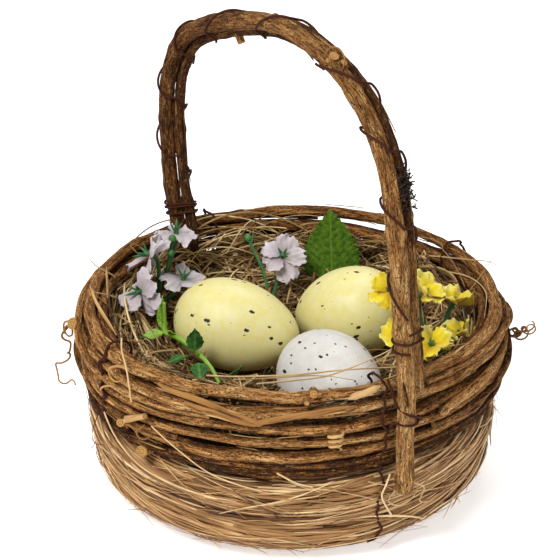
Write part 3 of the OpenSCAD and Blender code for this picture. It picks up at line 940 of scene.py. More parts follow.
# As azimuth, radius, height
LEFT_TENDRIL = [
    (-122, 101.6, 77), (-122.5, 104.6, 76), (-122, 107.4, 72.6), (-120.5, 107.6, 68),
    (-119.5, 105.4, 63.6), (-120.5, 105.8, 59), (-122, 109, 55.4), (-123.4, 112, 51.6),
    (-122.6, 113, 47.2), (-120.4, 110.6, 45.8), (-118.6, 106.6, 47.4), (-117.6, 103.4, 45.6),
]
LEFT_LOOP = [
    (-117, 101.5, 80), (-118.4, 104.4, 79.6), (-120, 107.4, 77.4), (-119.6, 107.8, 74.0),
    (-117.6, 105.8, 72.6), (-116.6, 103.8, 74.4), (-117.8, 104.2, 77.2), (-119, 106.6, 76.4),
    (-118.6, 107.4, 72.8),
]
# Curled ends by the left tie and thin threads that hang there: route, radius, tint
HOOP_CURLS = [
    ([(-79.6, 98.6, 87.0), (-82.0, 101.8, 88.0), (-84.6, 103.2, 85.4), (-84.9, 103.2, 81.6),
      (-83.0, 102.6, 79.8), (-81.0, 100.4, 81.0)], 0.6, 0.75),
    ([(-92.4, 99.6, 65.4), (-90.4, 102.4, 69.4), (-88.0, 103.4, 73.2), (-85.1, 102.8, 75.8),
      (-82.6, 99.8, 75.0)], 0.55, 0.8),
    ([(-80.8, 99.4, 56.4), (-79.4, 102.0, 60.0), (-77.2, 102.8, 61.2), (-75.8, 102.4, 59.8),
      (-75.4, 101.2, 56.4), (-76.2, 99.0, 53.6)], 0.5, 0.5),
    ([(-73.6, 99.6, 63.0), (-75.0, 102.2, 60.0), (-74.4, 102.8, 57.8), (-72.6, 102.4, 57.4),
      (-70.6, 99.8, 59.8)], 0.5, 0.45),
    ([(-104, 99.0, 84), (-99.4, 102.6, 76), (-98.0, 104.0, 66), (-97.0, 103.6, 58),
      (-96.0, 98.6, 46)], 0.16, 0.15),
    ([(-100.6, 99.4, 53.0), (-97.4, 103.2, 58.0), (-92.2, 100.4, 63.0)], 0.16, 0.1),
    ([(-99.4, 98.0, 46.5), (-98.8, 101.4, 38.6), (-96.4, 101.2, 34.8), (-93, 97.4, 36.8)],
     0.18, 0.1),
]
RIGHT_TENDRIL = polar(56, 101.4, 70)
# Each coil there: turns, drift sideways, size, lean
COILS = ((3.6, 0, 1.0, 0.3), (2.4, 1.6, 0.75, -0.9))
COIL_R = 3.0


def curly(route, wave, reach, rng):
    """The same route, wound into an uneven helix."""
    route = resample(route, 0.5)
    s = lengths(route)
    _, side, rise = axes_of(route)
    a = TURN * s / wave + 1.2 * sway(s, 2.4 * wave, rng)
    r = reach * np.clip(s / 6, 0, 1) * (0.8 + 0.3 * sway(s, 2 * wave, rng))
    return route + r[:, None] * around(a, side, rise)


def build_tendrils():
    form = Form()
    route = curly(smooth(polar_route(LEFT_TENDRIL), 12), 11, 1.5, np.random.default_rng(178))
    f = np.linspace(0, 1, len(route))
    form.tube(route, np.interp(f, [0, 0.2, 1], [0.8, 0.55, 0.4]), tint=0.3 + 0.4 * f)
    form.tube(polar_curve(LEFT_LOOP, 12, 0.5), 0.5, tint=0.55)
    form.build("left_tendril_curl", "dry_vine", "left_tendril")
    form = Form()
    for rows, r, tint in HOOP_CURLS:
        route = polar_curve(rows, 10, 0.5)
        form.tube(route, r * np.linspace(1.2, 0.6, len(route)), tint=tint)
    form.build("hoop_curls", "dry_vine")
    form = Form()
    out = outward(RIGHT_TENDRIL)
    sideways = np.cross(UP, out)
    for turns, drift, size, lean in COILS:
        f = np.linspace(0, 1, 130)
        a = TURN * turns * f + lean
        r = COIL_R * size * (0.75 + 0.35 * np.sin(2.6 * a / turns + lean))
        coil = (RIGHT_TENDRIL + 3.4 * out + f[:, None] * (8.5 * out + 4.5 * UP)
                + r[:, None] * around(a, out, UP)
                + (drift + 1.4 * np.sin(a / 2))[:, None] * sideways)
        stem = smooth([RIGHT_TENDRIL, RIGHT_TENDRIL + 1.6 * out, coil[0]], 6)
        route = resample(np.concatenate([stem, coil[1:]]), 0.5)
        f = np.linspace(0, 1, len(route))
        form.tube(route, 0.55 - 0.21 * f, tint=0.25 + 0.35 * f)
    form.build("right_tendril_curl", "dry_vine", "right_tendril")


# ---------------------------------------------------------------- eggs

EGG_W = 43
EGG_TAPER = 0.13
# Each egg: centre, direction of its pointed end round Z, its rise, length, body and skin
EGGS = {
    "egg_left": ((-11.5, -23.6, 75), 42, -7.5, 61, "left_egg", "egg_yellow"),
    "egg_right": ((0.6, 31.5, 72.5), 203, -24, 58, "right_egg", "egg_yellow"),
    "egg_white": ((46.5, -8, 69), 0, 8, 60, "white_egg", "egg_white"),
}


def egg_axis(yaw, rise):
    y, r = math.radians(yaw), math.radians(rise)
    return np.array((math.cos(y) * math.cos(r), math.sin(y) * math.cos(r), math.sin(r)))


def inside_egg(points, grow):
    """Which points lie inside any egg made larger by grow."""
    found = np.zeros(points.shape[:-1], bool)
    for centre, yaw, rise, length, _, _ in EGGS.values():
        offset = points - np.array(centre)
        x = offset @ egg_axis(yaw, rise)
        r = np.sqrt(np.maximum((offset ** 2).sum(-1) - x ** 2, 0))
        c = np.clip(x / (length / 2 + grow), -1, 1)
        limit = (EGG_W / 2 + grow) * np.sqrt(1 - c ** 2) * (1 - EGG_TAPER * c)
        found |= (np.abs(x) < length / 2 + grow) & (r < limit)
    return found


def build_eggs():
    for k, (name, (centre, yaw, rise, length, body, skin)) in enumerate(EGGS.items()):
        u = np.linspace(math.pi, 0, 73)
        r = EGG_W / 2 * np.sin(u) * (1 - EGG_TAPER * np.cos(u))
        phases = np.random.default_rng(180 + k).uniform(0, TURN, 4)

        def dents(v):
            wave = (np.sin(v[..., 0] / 7 + phases[0]) * np.sin(v[..., 1] / 8 + phases[1])
                    + 0.5 * np.sin(v[..., 2] / 5 + phases[2]) * np.sin(v[..., 0] / 4 + phases[3]))
            return 0.08 * wave[..., None] * unit(v)

        form = Form()
        form.revolve(np.stack([r, length / 2 * np.cos(u)], axis=-1), 96, dents)
        axis = egg_axis(yaw, rise)
        side = unit(np.cross(axis, UP))
        turned = np.stack([side, np.cross(axis, side), axis])
        form.verts = [v @ turned + np.array(centre) for v in form.verts]
        form.grains = [g + 100 * (k + 1) for g in form.grains]
        form.build(name + "_shell", skin, name, body=body)


# ---------------------------------------------------------------- straw bowl

BOWL_OUTSIDE = [(69, 0), (84.5, 5), (92.6, 12.5), (93.7, 22), (96, 37), (94, 43.5), (91, 45)]
BOWL_INSIDE = [(88, 44.2), (87.4, 36), (85.5, 22), (79, 12.5), (66, 8)]
FLOOR_T = 8
BOWL_R = 92
FRONT = -32
STRAW_GROUPS = 12
STRAW_COUNT = 1500
LONG_STRAWS = 210
BASE_STRAWS = 260
FLYAWAYS = 240


def straw_profile():
    """The bowl's outer line by its length: radius, height and their outward normal."""
    line = np.concatenate([[(60, 0, 0.2)], profile_curve(BOWL_OUTSIDE, 12)])
    ahead = unit(np.gradient(line, axis=0))
    return lengths(line), line[:, 0], line[:, 2], ahead[:, 2], -ahead[:, 0]


STRAW_LINE = straw_profile()
STRAW_TOTAL = STRAW_LINE[0][-1]


def on_straw(angle, run, lift):
    """Points above the bowl's surface, and the outward directions there."""
    run = np.clip(run, 0, STRAW_TOTAL)
    r, z, normal_r, normal_z = (np.interp(run, STRAW_LINE[0], line) for line in STRAW_LINE[1:])
    return (polar(angle, r + lift * normal_r, np.maximum(z + lift * normal_z, 0.8)),
            unit(polar(angle, normal_r, normal_z)))


def build_straw_core():
    outside = profile_curve([(r - 1.9, max(z - 0.6, 0.9)) for r, z in BOWL_OUTSIDE], 6)
    inside = profile_curve(BOWL_INSIDE, 6)
    line = [(0, 0.9), *outside[:, ::2], *inside[:, ::2], (0, FLOOR_T)]
    core = Form()
    core.revolve(line, 240, tint=0.3)
    core.build("straw_bowl_core", "straw_core", "straw_bowl", slot="straw")


def wrap_straw(form, rng):
    """A straw that runs round the bowl, lowest in front."""
    middle = rng.uniform(0, 360)
    half = rng.uniform(14, 46)
    rings = int(12 + half * 0.5)
    a = middle + np.linspace(-half, half, rings)
    level = rng.uniform(0.02, 1.03) * STRAW_TOTAL
    slant = 0.20 * sind(a - FRONT) + rng.normal(0, 0.055)
    travel = np.radians(a - middle) * BOWL_R
    run = np.cumsum(np.gradient(travel) * slant)
    run = run - run[rings // 2] + level + 0.9 * sway(travel, 60, rng)
    layer = rng.uniform(-1.0, 0.9)
    lift = layer + 0.35 * sway(travel, 34, rng)
    width = stalk_radius(rng, 0.5, 0.38)
    ends = np.minimum(np.linspace(0, 1, rings), np.linspace(1, 0, rings)) * 8
    kept = np.flatnonzero((run > 0) & (run < STRAW_TOTAL * 1.02))
    if len(kept) < 5:
        return
    part = slice(kept[0], kept[-1] + 1)
    route, up = on_straw(a[part], run[part], lift[part])
    # Painted shade: straws lower in the wrap are tinted darker
    form.stalk(rng, route, width * np.clip(0.35 + ends[part], 0.35, 1), 6, 0.5, up,
               (0.47 + 0.1 * layer, 0.26, 0, 1))


def lay_long_straw(form, rng):
    """A thin straw over the others, with its ends sprung off."""
    length = rng.uniform(18, 75)
    f = np.linspace(-0.5, 0.5, int(10 + length / 4))
    heading = rng.normal(-0.06, 0.2) * (2.2 if rng.uniform() < 0.15 else 1)
    level = rng.uniform(0.15, 0.97) * STRAW_TOTAL
    run = level + length * math.sin(heading) * f + rng.normal(0, 5) * (0.25 - f ** 2)
    a = rng.uniform(0, 360) + np.degrees(length * math.cos(heading) / 94) * f
    lift = rng.uniform(1.0, 1.9) + rng.uniform(0, 1.6) * np.abs(2 * f) ** 3
    width = stalk_radius(rng, 0.34, 0.35)
    route, up = on_straw(a, np.maximum(run, 0.5), lift)
    form.stalk(rng, route, width * np.clip(1.3 - 2 * np.abs(f), 0.3, 1), 6, 0.55, up,
               (0.68, 0.22, 0.05, 1))


def lay_base_straw(form, rng):
    """A straw curved round the underside."""
    a0 = rng.uniform(0, 360)
    r0 = rng.uniform(6, 68)
    half = rng.uniform(16, 40)
    s = np.linspace(-half, half, 12)[:, None]
    heading = a0 + 90 + rng.normal(0, 14)
    middle = polar(a0, r0, 0.75 + rng.uniform(-0.2, 0.2))
    route = middle + s * polar(heading, 1.0, 0.0) - s ** 2 / (2 * max(r0, 30)) * polar(a0, 1.0, 0.0)
    route = route[np.hypot(route[:, 0], route[:, 1]) < 70]
    if len(route) >= 5:
        form.tube(route, stalk_radius(rng, 0.55, 0.25), 6, 0.5, UP,
                  tint=drawn(rng, 0.45, 0.2, 0.02, 0.95))


def build_straw():
    rng = np.random.default_rng(200)
    groups = [Form() for _ in range(STRAW_GROUPS)]
    for n in range(STRAW_COUNT):
        wrap_straw(groups[n % STRAW_GROUPS], rng)
    for n in range(LONG_STRAWS):
        lay_long_straw(groups[n % STRAW_GROUPS], rng)
    for k, form in enumerate(groups, 1):
        form.build(f"straw_wrap_{k:02d}", "straw")
    base = Form()
    for _ in range(BASE_STRAWS):
        lay_base_straw(base, rng)
    base.build("straw_base_weave", "straw")


# Bent stalks about the handle's foot and at the left, as azimuth, radius, height; their
# radius and tint
STRAW_TANGLE = [
    ([(-12, 98, 44), (-6, 99.4, 40.5), (-1.5, 99.6, 41.2), (2.4, 99.4, 36), (1, 99.2, 30),
      (-3, 98.8, 28), (-6.2, 98.8, 32), (-4, 99.4, 37), (0.4, 99.6, 38.4), (5, 99, 33),
      (4, 98.4, 26), (9, 98, 23)], 0.3, 0.8),
    ([(-6.1, 99.6, 46.5), (-7.4, 99.9, 41), (-8.4, 99.8, 36.2), (-7.2, 99.6, 30.5),
      (-5.4, 99.2, 24.6)], 0.45, 0.95),
    ([(-9, 99, 38), (-2, 99.2, 33.5), (4, 99, 34.5), (7.4, 98.8, 38.5), (5, 99.2, 42.4),
      (0, 99.4, 43.4)], 0.28, 0.6),
    ([(-86, 95, 97), (-82.5, 99, 94.4), (-79, 101.6, 90), (-77.4, 102.6, 82),
      (-76.3, 103.2, 74.6)], 0.42, 0.85),
    ([(-90, 101.6, 58), (-84, 102.2, 50), (-76, 101.4, 42), (-66, 100, 38), (-52, 99.6, 36)],
     0.4, 0.85),
    ([(-94, 101, 52), (-90, 101.5, 44), (-84, 100.8, 36), (-74, 99.4, 30), (-58, 98.6, 27)],
     0.36, 0.7),
    ([(-70, 102.4, 66), (-62, 101.8, 58), (-53, 100.6, 49), (-40, 99.6, 43)], 0.3, 0.9),
    ([(-36, 101.4, 54), (-31, 101.6, 49), (-27, 100.2, 46)], 0.4, 0.9),
]


def build_flyaways():
    """Loose ends that spring off the straw bowl."""
    rng = np.random.default_rng(230)
    form = Form()
    f = np.linspace(0, 1, 12)
    for _ in range(FLYAWAYS):
        a0 = rng.uniform(0, 360)
        level = rng.uniform(0.12, 0.95) * STRAW_TOTAL
        reach = rng.uniform(5, 21)
        a = a0 + rng.choice((-1, 1)) * np.degrees(reach * 1.3 / BOWL_R) * f
        lift = 0.6 + rng.uniform(1.2, 5.5) * f ** 2
        route, _ = on_straw(a, level + rng.normal(0, 0.35) * reach * f, lift)
        route[:, 2] = np.maximum(route[:, 2] + rng.uniform(-2.5, 2.5) * f ** 2, 0.4)
        form.tube(route, rng.uniform(0.14, 0.34) * (1 - 0.6 * f), 5,
                  tint=drawn(rng, 0.6, 0.2, 0.05, 0.98))
    for rows, r, tint in STRAW_TANGLE:
        route = polar_route(curve_at(rows, np.linspace(0, len(rows) - 1, 12 * len(rows))))
        form.tube(resample(route, 0.7), r, 6, tint=tint)
    form.build("straw_loose_ends", "straw")


# ---------------------------------------------------------------- hay

HAY_TOP = [(0, 52), (20, 53), (40, 56), (62, 62), (76, 67.5), (84.4, 66), (87.6, 60)]
HAY_WALL = [(0, 8.4), (65, 8.4), (78.2, 13), (84.8, 22), (86.8, 36), (87.4, 45), (87.6, 60)]
HAY_GROUPS = 10
HAY_COUNT = 1700
WALL_HAY = 850
BED_HAY = 800
NEST_R = 86
HAY_MAX_Z = 86
STALK_MAX_Z = 104
EGG_GAP = 0.4
MAP_REACH = 90


def hay_height(r):
    return np.interp(r, *np.transpose(HAY_TOP))


def egg_floor(x, y):
    """The lowest egg surface above each place, and infinity away from the eggs."""
    low = np.full(np.shape(x), np.inf)
    for z in np.arange(95, 48, -0.5):
        hit = inside_egg(np.stack([x, y, np.full_like(x, z)], axis=-1), 0.9)
        low = np.where(hit, z, low)
    return low


def map_under_eggs():
    """Which millimetre squares lie below an egg."""
    side = np.arange(-MAP_REACH, MAP_REACH + 1.0)
    return np.isfinite(egg_floor(*np.meshgrid(side, side, indexing="ij")))


UNDER_EGGS = map_under_eggs()


def runs_under_egg(route):
    """Whether any of its points that are on the map lie below an egg."""
    mapped = route[(np.abs(route[:, :2]) < MAP_REACH).all(axis=1), :2]
    return UNDER_EGGS[tuple(np.round(mapped).astype(int).T + MAP_REACH)].any()


def lay_bed(groups, rng):
    """Stalks pressed flat under the eggs."""
    where = np.argwhere(UNDER_EGGS)
    x0, y0 = (where[rng.integers(0, len(where), BED_HAY)] - MAP_REACH).T[:, :, None]
    heading = rng.uniform(0, TURN, (BED_HAY, 1))
    length = rng.uniform(9, 36, (BED_HAY, 1))
    f = np.linspace(-0.5, 0.5, 10)
    bow = rng.normal(0, 0.12, (BED_HAY, 1)) * length * (4 * f ** 2 - 1)
    x = x0 + length * f * np.cos(heading) - bow * np.sin(heading)
    y = y0 + length * f * np.sin(heading) + bow * np.cos(heading)
    z = np.minimum(hay_height(np.hypot(x, y)) - 1.2, egg_floor(x, y) - EGG_GAP)
    z[:, 1:-1] = (z[:, :-2] + 2 * z[:, 1:-1] + z[:, 2:]) / 4
    z = z + rng.uniform(-0.05, 0.6, (BED_HAY, 1))
    for n, route in enumerate(np.stack([x, y, z], axis=-1)):
        groups[n % HAY_GROUPS].stalk(rng, route, stalk_radius(rng, 0.36), 5, 0.6, UP,
                                     (0.36, 0.24, 0, 1))


def build_hay_core(rng):
    phases = rng.uniform(0, TURN, 6)
    line = HAY_WALL + list(profile_curve(HAY_TOP[::-1], 8)[1:, ::2])

    def settle(v):
        """Lumps on the top of the hay, pressed down under the eggs."""
        x, y, z = v[..., 0], v[..., 1], v[..., 2]
        wave = (np.sin(x / 5 + phases[0]) * np.sin(y / 6 + phases[1])
                + 0.6 * np.sin(x / 2.6 + phases[2]) * np.sin(y / 2.9 + phases[3]))
        top = np.minimum(z - 1.6 + 0.8 * wave, egg_floor(x, y) - EGG_GAP)
        on_top = z > hay_height(np.hypot(x, y)) - 2.5
        return np.where(on_top, top - z, 0)[..., None] * UP

    core = Form()
    core.revolve(line, 200, settle, tint=0.3)
    core.build("hay_core", "hay_core", "hay_lining", slot="hay")


def floor_hay_route(rng):
    """A bowed stalk, still level, and its places from end to end."""
    r0 = NEST_R * math.sqrt(rng.uniform(0, 1))
    middle = polar(rng.uniform(0, 360), r0, 0.0)
    length = rng.uniform(12, 62)
    heading = rng.uniform(0, 360)
    f = np.linspace(-0.5, 0.5, int(8 + length / 5))[:, None]
    bow = rng.normal(0, 0.12) * length
    route = (middle + length * f * polar(heading, 1.0, 0.0)
             + bow * (4 * f ** 2 - 1) * polar(heading + 90, 1.0, 0.0))
    return route, f[:, 0]


def wall_hay_route(rng):
    """A stalk against the inside of the hoops."""
    a0 = rng.uniform(0, 360)
    z0 = rng.uniform(58, 82)
    length = rng.uniform(14, 52)
    slope = rng.normal(0, 0.62)
    f = np.linspace(-1, 1, int(9 + length / 5))
    a = a0 + np.degrees(length / 2 * math.cos(slope) / NEST_R) * f
    z = z0 + length / 2 * math.sin(slope) * f + rng.uniform(-2, 2) * (1 - f ** 2)
    top_z = rng.uniform(80, 88)
    z = np.maximum(top_z - np.abs(top_z - z), 52)
    r = 87.2 - rng.uniform(0, 4.5) - np.clip((z - 60) / 30, 0, 1) * 1.5 + 0.8 * f * rng.normal()
    return polar(a, r, z)


def build_hay():
    rng = np.random.default_rng(250)
    build_hay_core(rng)
    groups = [Form() for _ in range(HAY_GROUPS)]
    made = 0
    while made < HAY_COUNT:
        route, f = floor_hay_route(rng)
        r = np.hypot(route[:, 0], route[:, 1])
        if r.max() > NEST_R + 2 or runs_under_egg(route):
            continue
        lift = rng.uniform(-0.8, 4.2)
        tilt = rng.normal(0, 4.5)
        route[:, 2] = np.minimum(hay_height(r) + lift + 2 * tilt * f
                                 + rng.uniform(0, 14) * (0.25 - f ** 2), HAY_MAX_Z)
        width = stalk_radius(rng, 0.38, 0.4) * (1.7 if rng.uniform() < 0.12 else 1)
        groups[made % HAY_GROUPS].stalk(rng, route, width, 5, 0.6, UP, (0.45, 0.28, 0, 1))
        made += 1
    for n in range(WALL_HAY):
        route = wall_hay_route(rng)
        groups[n % HAY_GROUPS].stalk(rng, route, stalk_radius(rng, 0.36), 5, 0.6,
                                     -outward(route), (0.42, 0.26, 0, 1))
    lay_bed(groups, np.random.default_rng(256))
    for k, form in enumerate(groups, 1):
        form.build(f"hay_strands_{k:02d}", "hay")


# Long stalks that lie across the nest, with their radius and tint. They keep clear of the
# space above each egg.
STALKS = [
    ([(30, -64.5, 80), (41, -59, 83), (56, -47.5, 87), (66.5, -38, 90), (77, -24, 93),
      (83.5, -6, 92), (85.5, 14, 88)], 0.5, 0.8),
    ([(53, -52, 83), (66, -40, 87.5), (75.5, -28, 91), (80.5, -9, 96), (73, 12, 94),
      (64, 22, 90)], 0.42, 0.95),
    ([(46, -60, 84), (60, -50, 88.6), (70, -40, 91.5), (78, -31, 92.6), (84, -20, 90)], 0.34, 0.65),
    ([(68, 25, 74), (72, 16, 84), (76, 8, 91), (82, -4, 95.5), (86, -16, 96)], 0.4, 0.9),
    ([(-33, -66, 66), (-20, -70, 76), (-8, -74, 84), (8, -79, 89)], 0.32, 0.8),
    ([(-62, -52, 72), (-52, -66, 84), (-44, -76, 92), (-40, -84, 97)], 0.5, 0.85),
    ([(-70, -50, 76), (-66, -60, 88), (-62, -70, 97), (-60, -75, 103)], 0.45, 0.9),
    ([(-48, -66, 70), (-47, -72, 82), (-44, -79, 91)], 0.7, 0.9),
    ([(-36, 77, 72.5), (-22, 83, 79), (-8, 86, 84.5), (22, 84, 96), (44, 81, 105),
      (58, 76, 110)], 0.42, 0.9),
    ([(10, 84, 84), (30, 82, 90), (50, 76, 92.5), (68, 62, 91)], 0.4, 0.85),
    ([(80, 45, 88), (88, 30, 95), (92, 18, 99)], 0.3, 0.75),
    ([(66, 60, 76), (78, 48, 86), (88, 36, 93), (95, 26, 96)], 0.5, 0.8),
    ([(30, 70, 72), (36, 76, 86), (40, 82, 98), (42, 85, 104)], 0.3, 0.7),
]


ARCHED_STALKS = 110
BACK_STALKS = 80


def arched_route(rng, at_back):
    """A stalk that springs from the nest and may lean over the rim."""
    a0 = rng.uniform(95, 262) if at_back else rng.uniform(0, 360)
    span = rng.uniform(12, 60) * rng.choice((-1, 1))
    f = np.linspace(0, 1, 26)
    start_r, end_r = rng.uniform(70, 86), rng.uniform(72, 93)
    r = start_r + (end_r - start_r) * f + rng.normal(0, 3) * np.sin(math.pi * f)
    top = rng.uniform(2, 22) if at_back else rng.uniform(0, 8)
    z = 66 + rng.uniform(4, 16) * f + top * np.sin(math.pi * f * rng.uniform(0.6, 1.0))
    z = np.minimum(z, STALK_MAX_Z)
    return polar(a0 + span * f, np.where((r > NEST_R) & (z < 92), NEST_R, r), z)


def build_stalks():
    rng = np.random.default_rng(262)
    form = Form()
    for rows, r, tint in STALKS:
        route = resample(smooth(rows, 10), 1.2)
        f = np.linspace(0, 1, len(route))
        form.tube(route, r * np.clip(1.4 - f, 0.5, 1), 7, flat=0.7, tint=tint,
                  grain_from=rng.uniform(0, GRAIN_SPAN))
    made = 0
    while made < ARCHED_STALKS:
        route = arched_route(rng, made < BACK_STALKS)
        if not runs_under_egg(route):
            form.stalk(rng, resample(route, 2.0), stalk_radius(rng, 0.36), 6, 0.7, None,
                       (0.62, 0.22, 0.05, 1))
            made += 1
    form.build("hay_long_stalks", "hay")


# Short lengths on the rim: chips and split sticks. Each is a route as azimuth, radius and
# height, its radius, flatness and tint.
RIM_DETAILS = [
    ([(-17.8, 98.2, 88.0), (-15.5, 98.8, 89.6), (-13.2, 98.8, 90.3), (-11, 98.4, 91.1),
      (-9, 97.6, 91.4)], 1.7, 0.45, 1.0),
    ([(-125.1, 87, 78), (-126, 87.4, 90), (-126.8, 87.8, 101.6)], 1.1, 0.5, 0.95),
    ([(-119, 94.6, 97.2), (-110, 92.4, 95.6), (-102, 90.6, 93), (-96, 89.4, 89.6)],
     1.4, 0.35, 0.9),
]
# Cut ends that face the front: azimuth, radius, height, stub radius, length
CUT_ENDS = [(-26.7, 98.0, 92.0, 1.6, 5), (-28.5, 99.0, 88.0, 1.1, 4), (-115.5, 103.6, 81, 2.8, 9),
            (-73.8, 102.0, 50, 2.5, 8), (-80.6, 103.6, 60.6, 1.9, 4)]


def build_rim_details():
    rng = np.random.default_rng(270)
    form = Form()
    for rows, r, flat, tint in RIM_DETAILS:
        route = polar_curve(rows, 10, 0.8)
        f = np.linspace(0, 1, len(route))
        width = r * np.clip(np.minimum(f, 1 - f) * 6, 0.35, 1)
        form.tube(route, width, 12, flat=flat, up=outward(route), tint=tint,
                  shape=bark_shape(lengths(route), 12, rng, 0.06), cap_slot=1)
    form.build("rim_split_sticks", "dry_vine cut_wood")
    form = Form()
    front = np.array(view_direction(VIEW_AZIMUTH, VIEW_ELEVATION))
    for angle, radius, z, r, length in CUT_ENDS:
        tip = polar(angle, radius, z)
        stub(form, tip - length * unit(front + 0.6 * outward(tip)), tip, r, rng, 18)
    form.build("rim_cut_ends", "vine_bark cut_wood")


# ---------------------------------------------------------------- leaves and flowers

def leaf(form, foot, turn, length, width, teeth, rows, columns, fold, thickness=0.4):
    """A serrated leaf with a raised midrib and side veins."""
    u = np.linspace(0.0, 1.0, rows)[:, None]
    v = np.linspace(-1, 1, columns)[None]
    saw = (u * teeth) % 1.0 - 0.5
    half = np.maximum(width / 2 * np.sin(math.pi * u ** 0.65) ** 0.9, 0.25)
    x = length * u + 0.02 * length * saw * np.abs(v) ** 4
    y = v * half * (1 + 0.13 * saw * np.abs(v) ** 3)
    vein = np.cos(math.pi * (x - np.abs(y) * 0.95) / 4.0) ** 12 * np.clip(np.abs(v) * 4, 0, 1)
    rib = np.exp(-(y / 0.55) ** 2)
    z = (fold * np.abs(y) - 0.1 * length * (u - 0.35) ** 2
         + 0.22 * vein + 0.35 * rib + 0.35 * np.sin(u * 9) * v)
    grid = np.stack([x, y, z], axis=-1)
    form.sheet(grid @ turn_matrix(turn).T + np.array(foot), thickness,
               np.clip(0.55 * vein + rib, 0, 1), grid)


BIG_LEAF = ((-40, 49, 64), (-32, -94, 0), 42, 28)
DARK_LEAVES = [
    ((2.5, -54.5, 77.5), (0, -85, -32), 12, 8),
    ((-2, -57, 73), (0, 10, -100), 10, 6),
    ((8, -56, 73.5), (0, 20, -25), 10, 8),
    ((21, -45, 69), (0, -60, 20), 9, 7),
]


def build_leaves():
    form = Form()
    leaf(form, *BIG_LEAF, teeth=15, rows=151, columns=41, fold=0.1, thickness=0.5)
    form.build("big_leaf_blade", "big_leaf", "big_leaf")
    for n, row in enumerate(DARK_LEAVES, 1):
        form = Form()
        leaf(form, *row, teeth=5, rows=40, columns=15, fold=0.2)
        form.build(f"dark_leaf_{n}_blade", "dark_leaf", f"dark_leaf_{n}")


WHITE_FLOWERS = [
    ((-68, -24, 100), (-9, -15, 0)), ((-58, -44, 98), (46, -42, 0)),
    ((-53, -29, 83), (-12, 4, 0)), ((-46, -56, 87), (60, 20, 0)),
    ((-47, 24, 84), (15, 35, 0)),
]
YELLOW_FLOWERS = [
    ((42, 27, 103), (20, 10, 0)), ((43, 45, 97), (-20, 20, 0)), ((44, 62, 88), (-30, 10, 0)),
    ((50, 27, 84), (40, 10, 0)), ((60, 38, 80), (10, 30, 0)), ((56, 56, 78), (-10, 30, 0)),
]
STEM_R = 1.1
CALYX_OVER = 3


def turned_z(turn):
    return turn_matrix(turn)[:, 2]


def petal_grid(reach, width, rise, rng, ragged, cup, ruffle):
    """One cloth petal lying along X, narrow at its foot, ruffled and notched at its end."""
    u = np.linspace(0.06, 1, 22)[:, None]
    v = np.linspace(-1, 1, 19)
    half = width / 2 * (0.16 + 0.95 * np.sin(math.pi * 0.72 * u) ** 1.3)
    edge = 0
    for waves in (3, 5, 8):
        height = rng.normal(0, ragged / waves ** 0.5)
        edge = edge + height * np.cos(waves * math.pi * v + rng.uniform(0, TURN))
    edge = edge - ragged * 2.2 * np.exp(-((v - rng.uniform(-0.3, 0.3)) / 0.2) ** 2)
    x = reach * u * (1 - 0.16 * v ** 2 + edge * u ** 4)
    y = v * half * (1 + 0.07 * np.sin(u * 21 + rng.uniform(0, TURN)) * np.abs(v) ** 3)
    crease = rng.uniform(-0.5, 0.5)
    z = (cup * reach * u ** 2 + ruffle * np.sin(v * 3.6 + rng.uniform(0, TURN)) * u ** 2
         + 0.45 * ruffle * np.sin(v * 7.5 + u * 5 + rng.uniform(0, TURN)) * u ** 2
         + 0.25 * ruffle * np.sin(v * 13 - u * 9 + rng.uniform(0, TURN)) * u
         + rng.uniform(-0.35, 0.35) * half * np.abs(v - crease) - 0.12 * half * v ** 2)
    tilt = turn_matrix((rng.uniform(-22, 22), -rise, 0))
    return np.stack([x, y, z], axis=-1) @ tilt.T, u


def flower(form, place, turn, rng, count, reach, width, rise, ragged, cup, ruffle, uneven):
    for i in range(count):
        grid, tint = petal_grid(reach * rng.uniform(0.8, 1.12), width * rng.uniform(0.85, 1.15),
                                rise + rng.uniform(-uneven, uneven), rng, ragged,
                                cup * rng.uniform(0.2, 1.8), ruffle)
        spin = turn_matrix((0, 0, 360 * i / count + rng.uniform(-12, 12)))
        grain = grid + rng.uniform(0, 50)
        placed = (grid @ spin.T + 0.25 * (i % 2) * UP) @ turn_matrix(turn).T + np.array(place)
        form.sheet(placed, 0.28, np.clip(tint + rng.uniform(-0.15, 0.15), 0, 1), grain)


def spike(form, foot, direction, length, r, rng):
    """A pointed green sepal."""
    f = np.linspace(0, 1, 9)
    direction = unit(np.array(direction))
    side = unit(np.cross(direction, rng.normal(size=3)))
    route = foot + (length * f)[:, None] * direction + (0.12 * length * f ** 2)[:, None] * side
    form.tube(route, np.maximum(r * (1 - f ** 1.5) * (0.7 + 0.9 * f), 0.06), flat=0.6,
              up=side, tint=0.5 + 0.3 * f)


def calyx(form, place, up, rng, length, r=0.95):
    """A ring of four sepals round the middle of a flower."""
    first = unit(np.cross(up, (0.3, 0.5, 0.8)))
    second = np.cross(up, first)
    for a in ring_angles(4):
        a = a + rng.uniform(-0.3, 0.3)
        lean = math.cos(a) * first + math.sin(a) * second
        spike(form, place + 0.5 * lean, up + rng.uniform(0.35, 0.75) * lean,
              length * rng.uniform(0.8, 1.15), r, rng)


def bud(form, stem, size, rng):
    """A closed green flower head at the end of its own stem."""
    route = resample(smooth(stem, 8), 0.8)
    up = unit(route[-1] - route[-4])
    f = np.linspace(0, 1, 11)
    form.tube(route, 0.8, 10, tint=0.4)
    form.tube(route[-1] + (2.2 * size * (f - 0.2))[:, None] * up,
              np.maximum(size * np.sin(math.pi * f ** 0.8) ** 0.6, 0.2), 12, tint=0.75)
    calyx(form, route[-1] - 1.5 * up, up, rng, 3.2, 0.8)


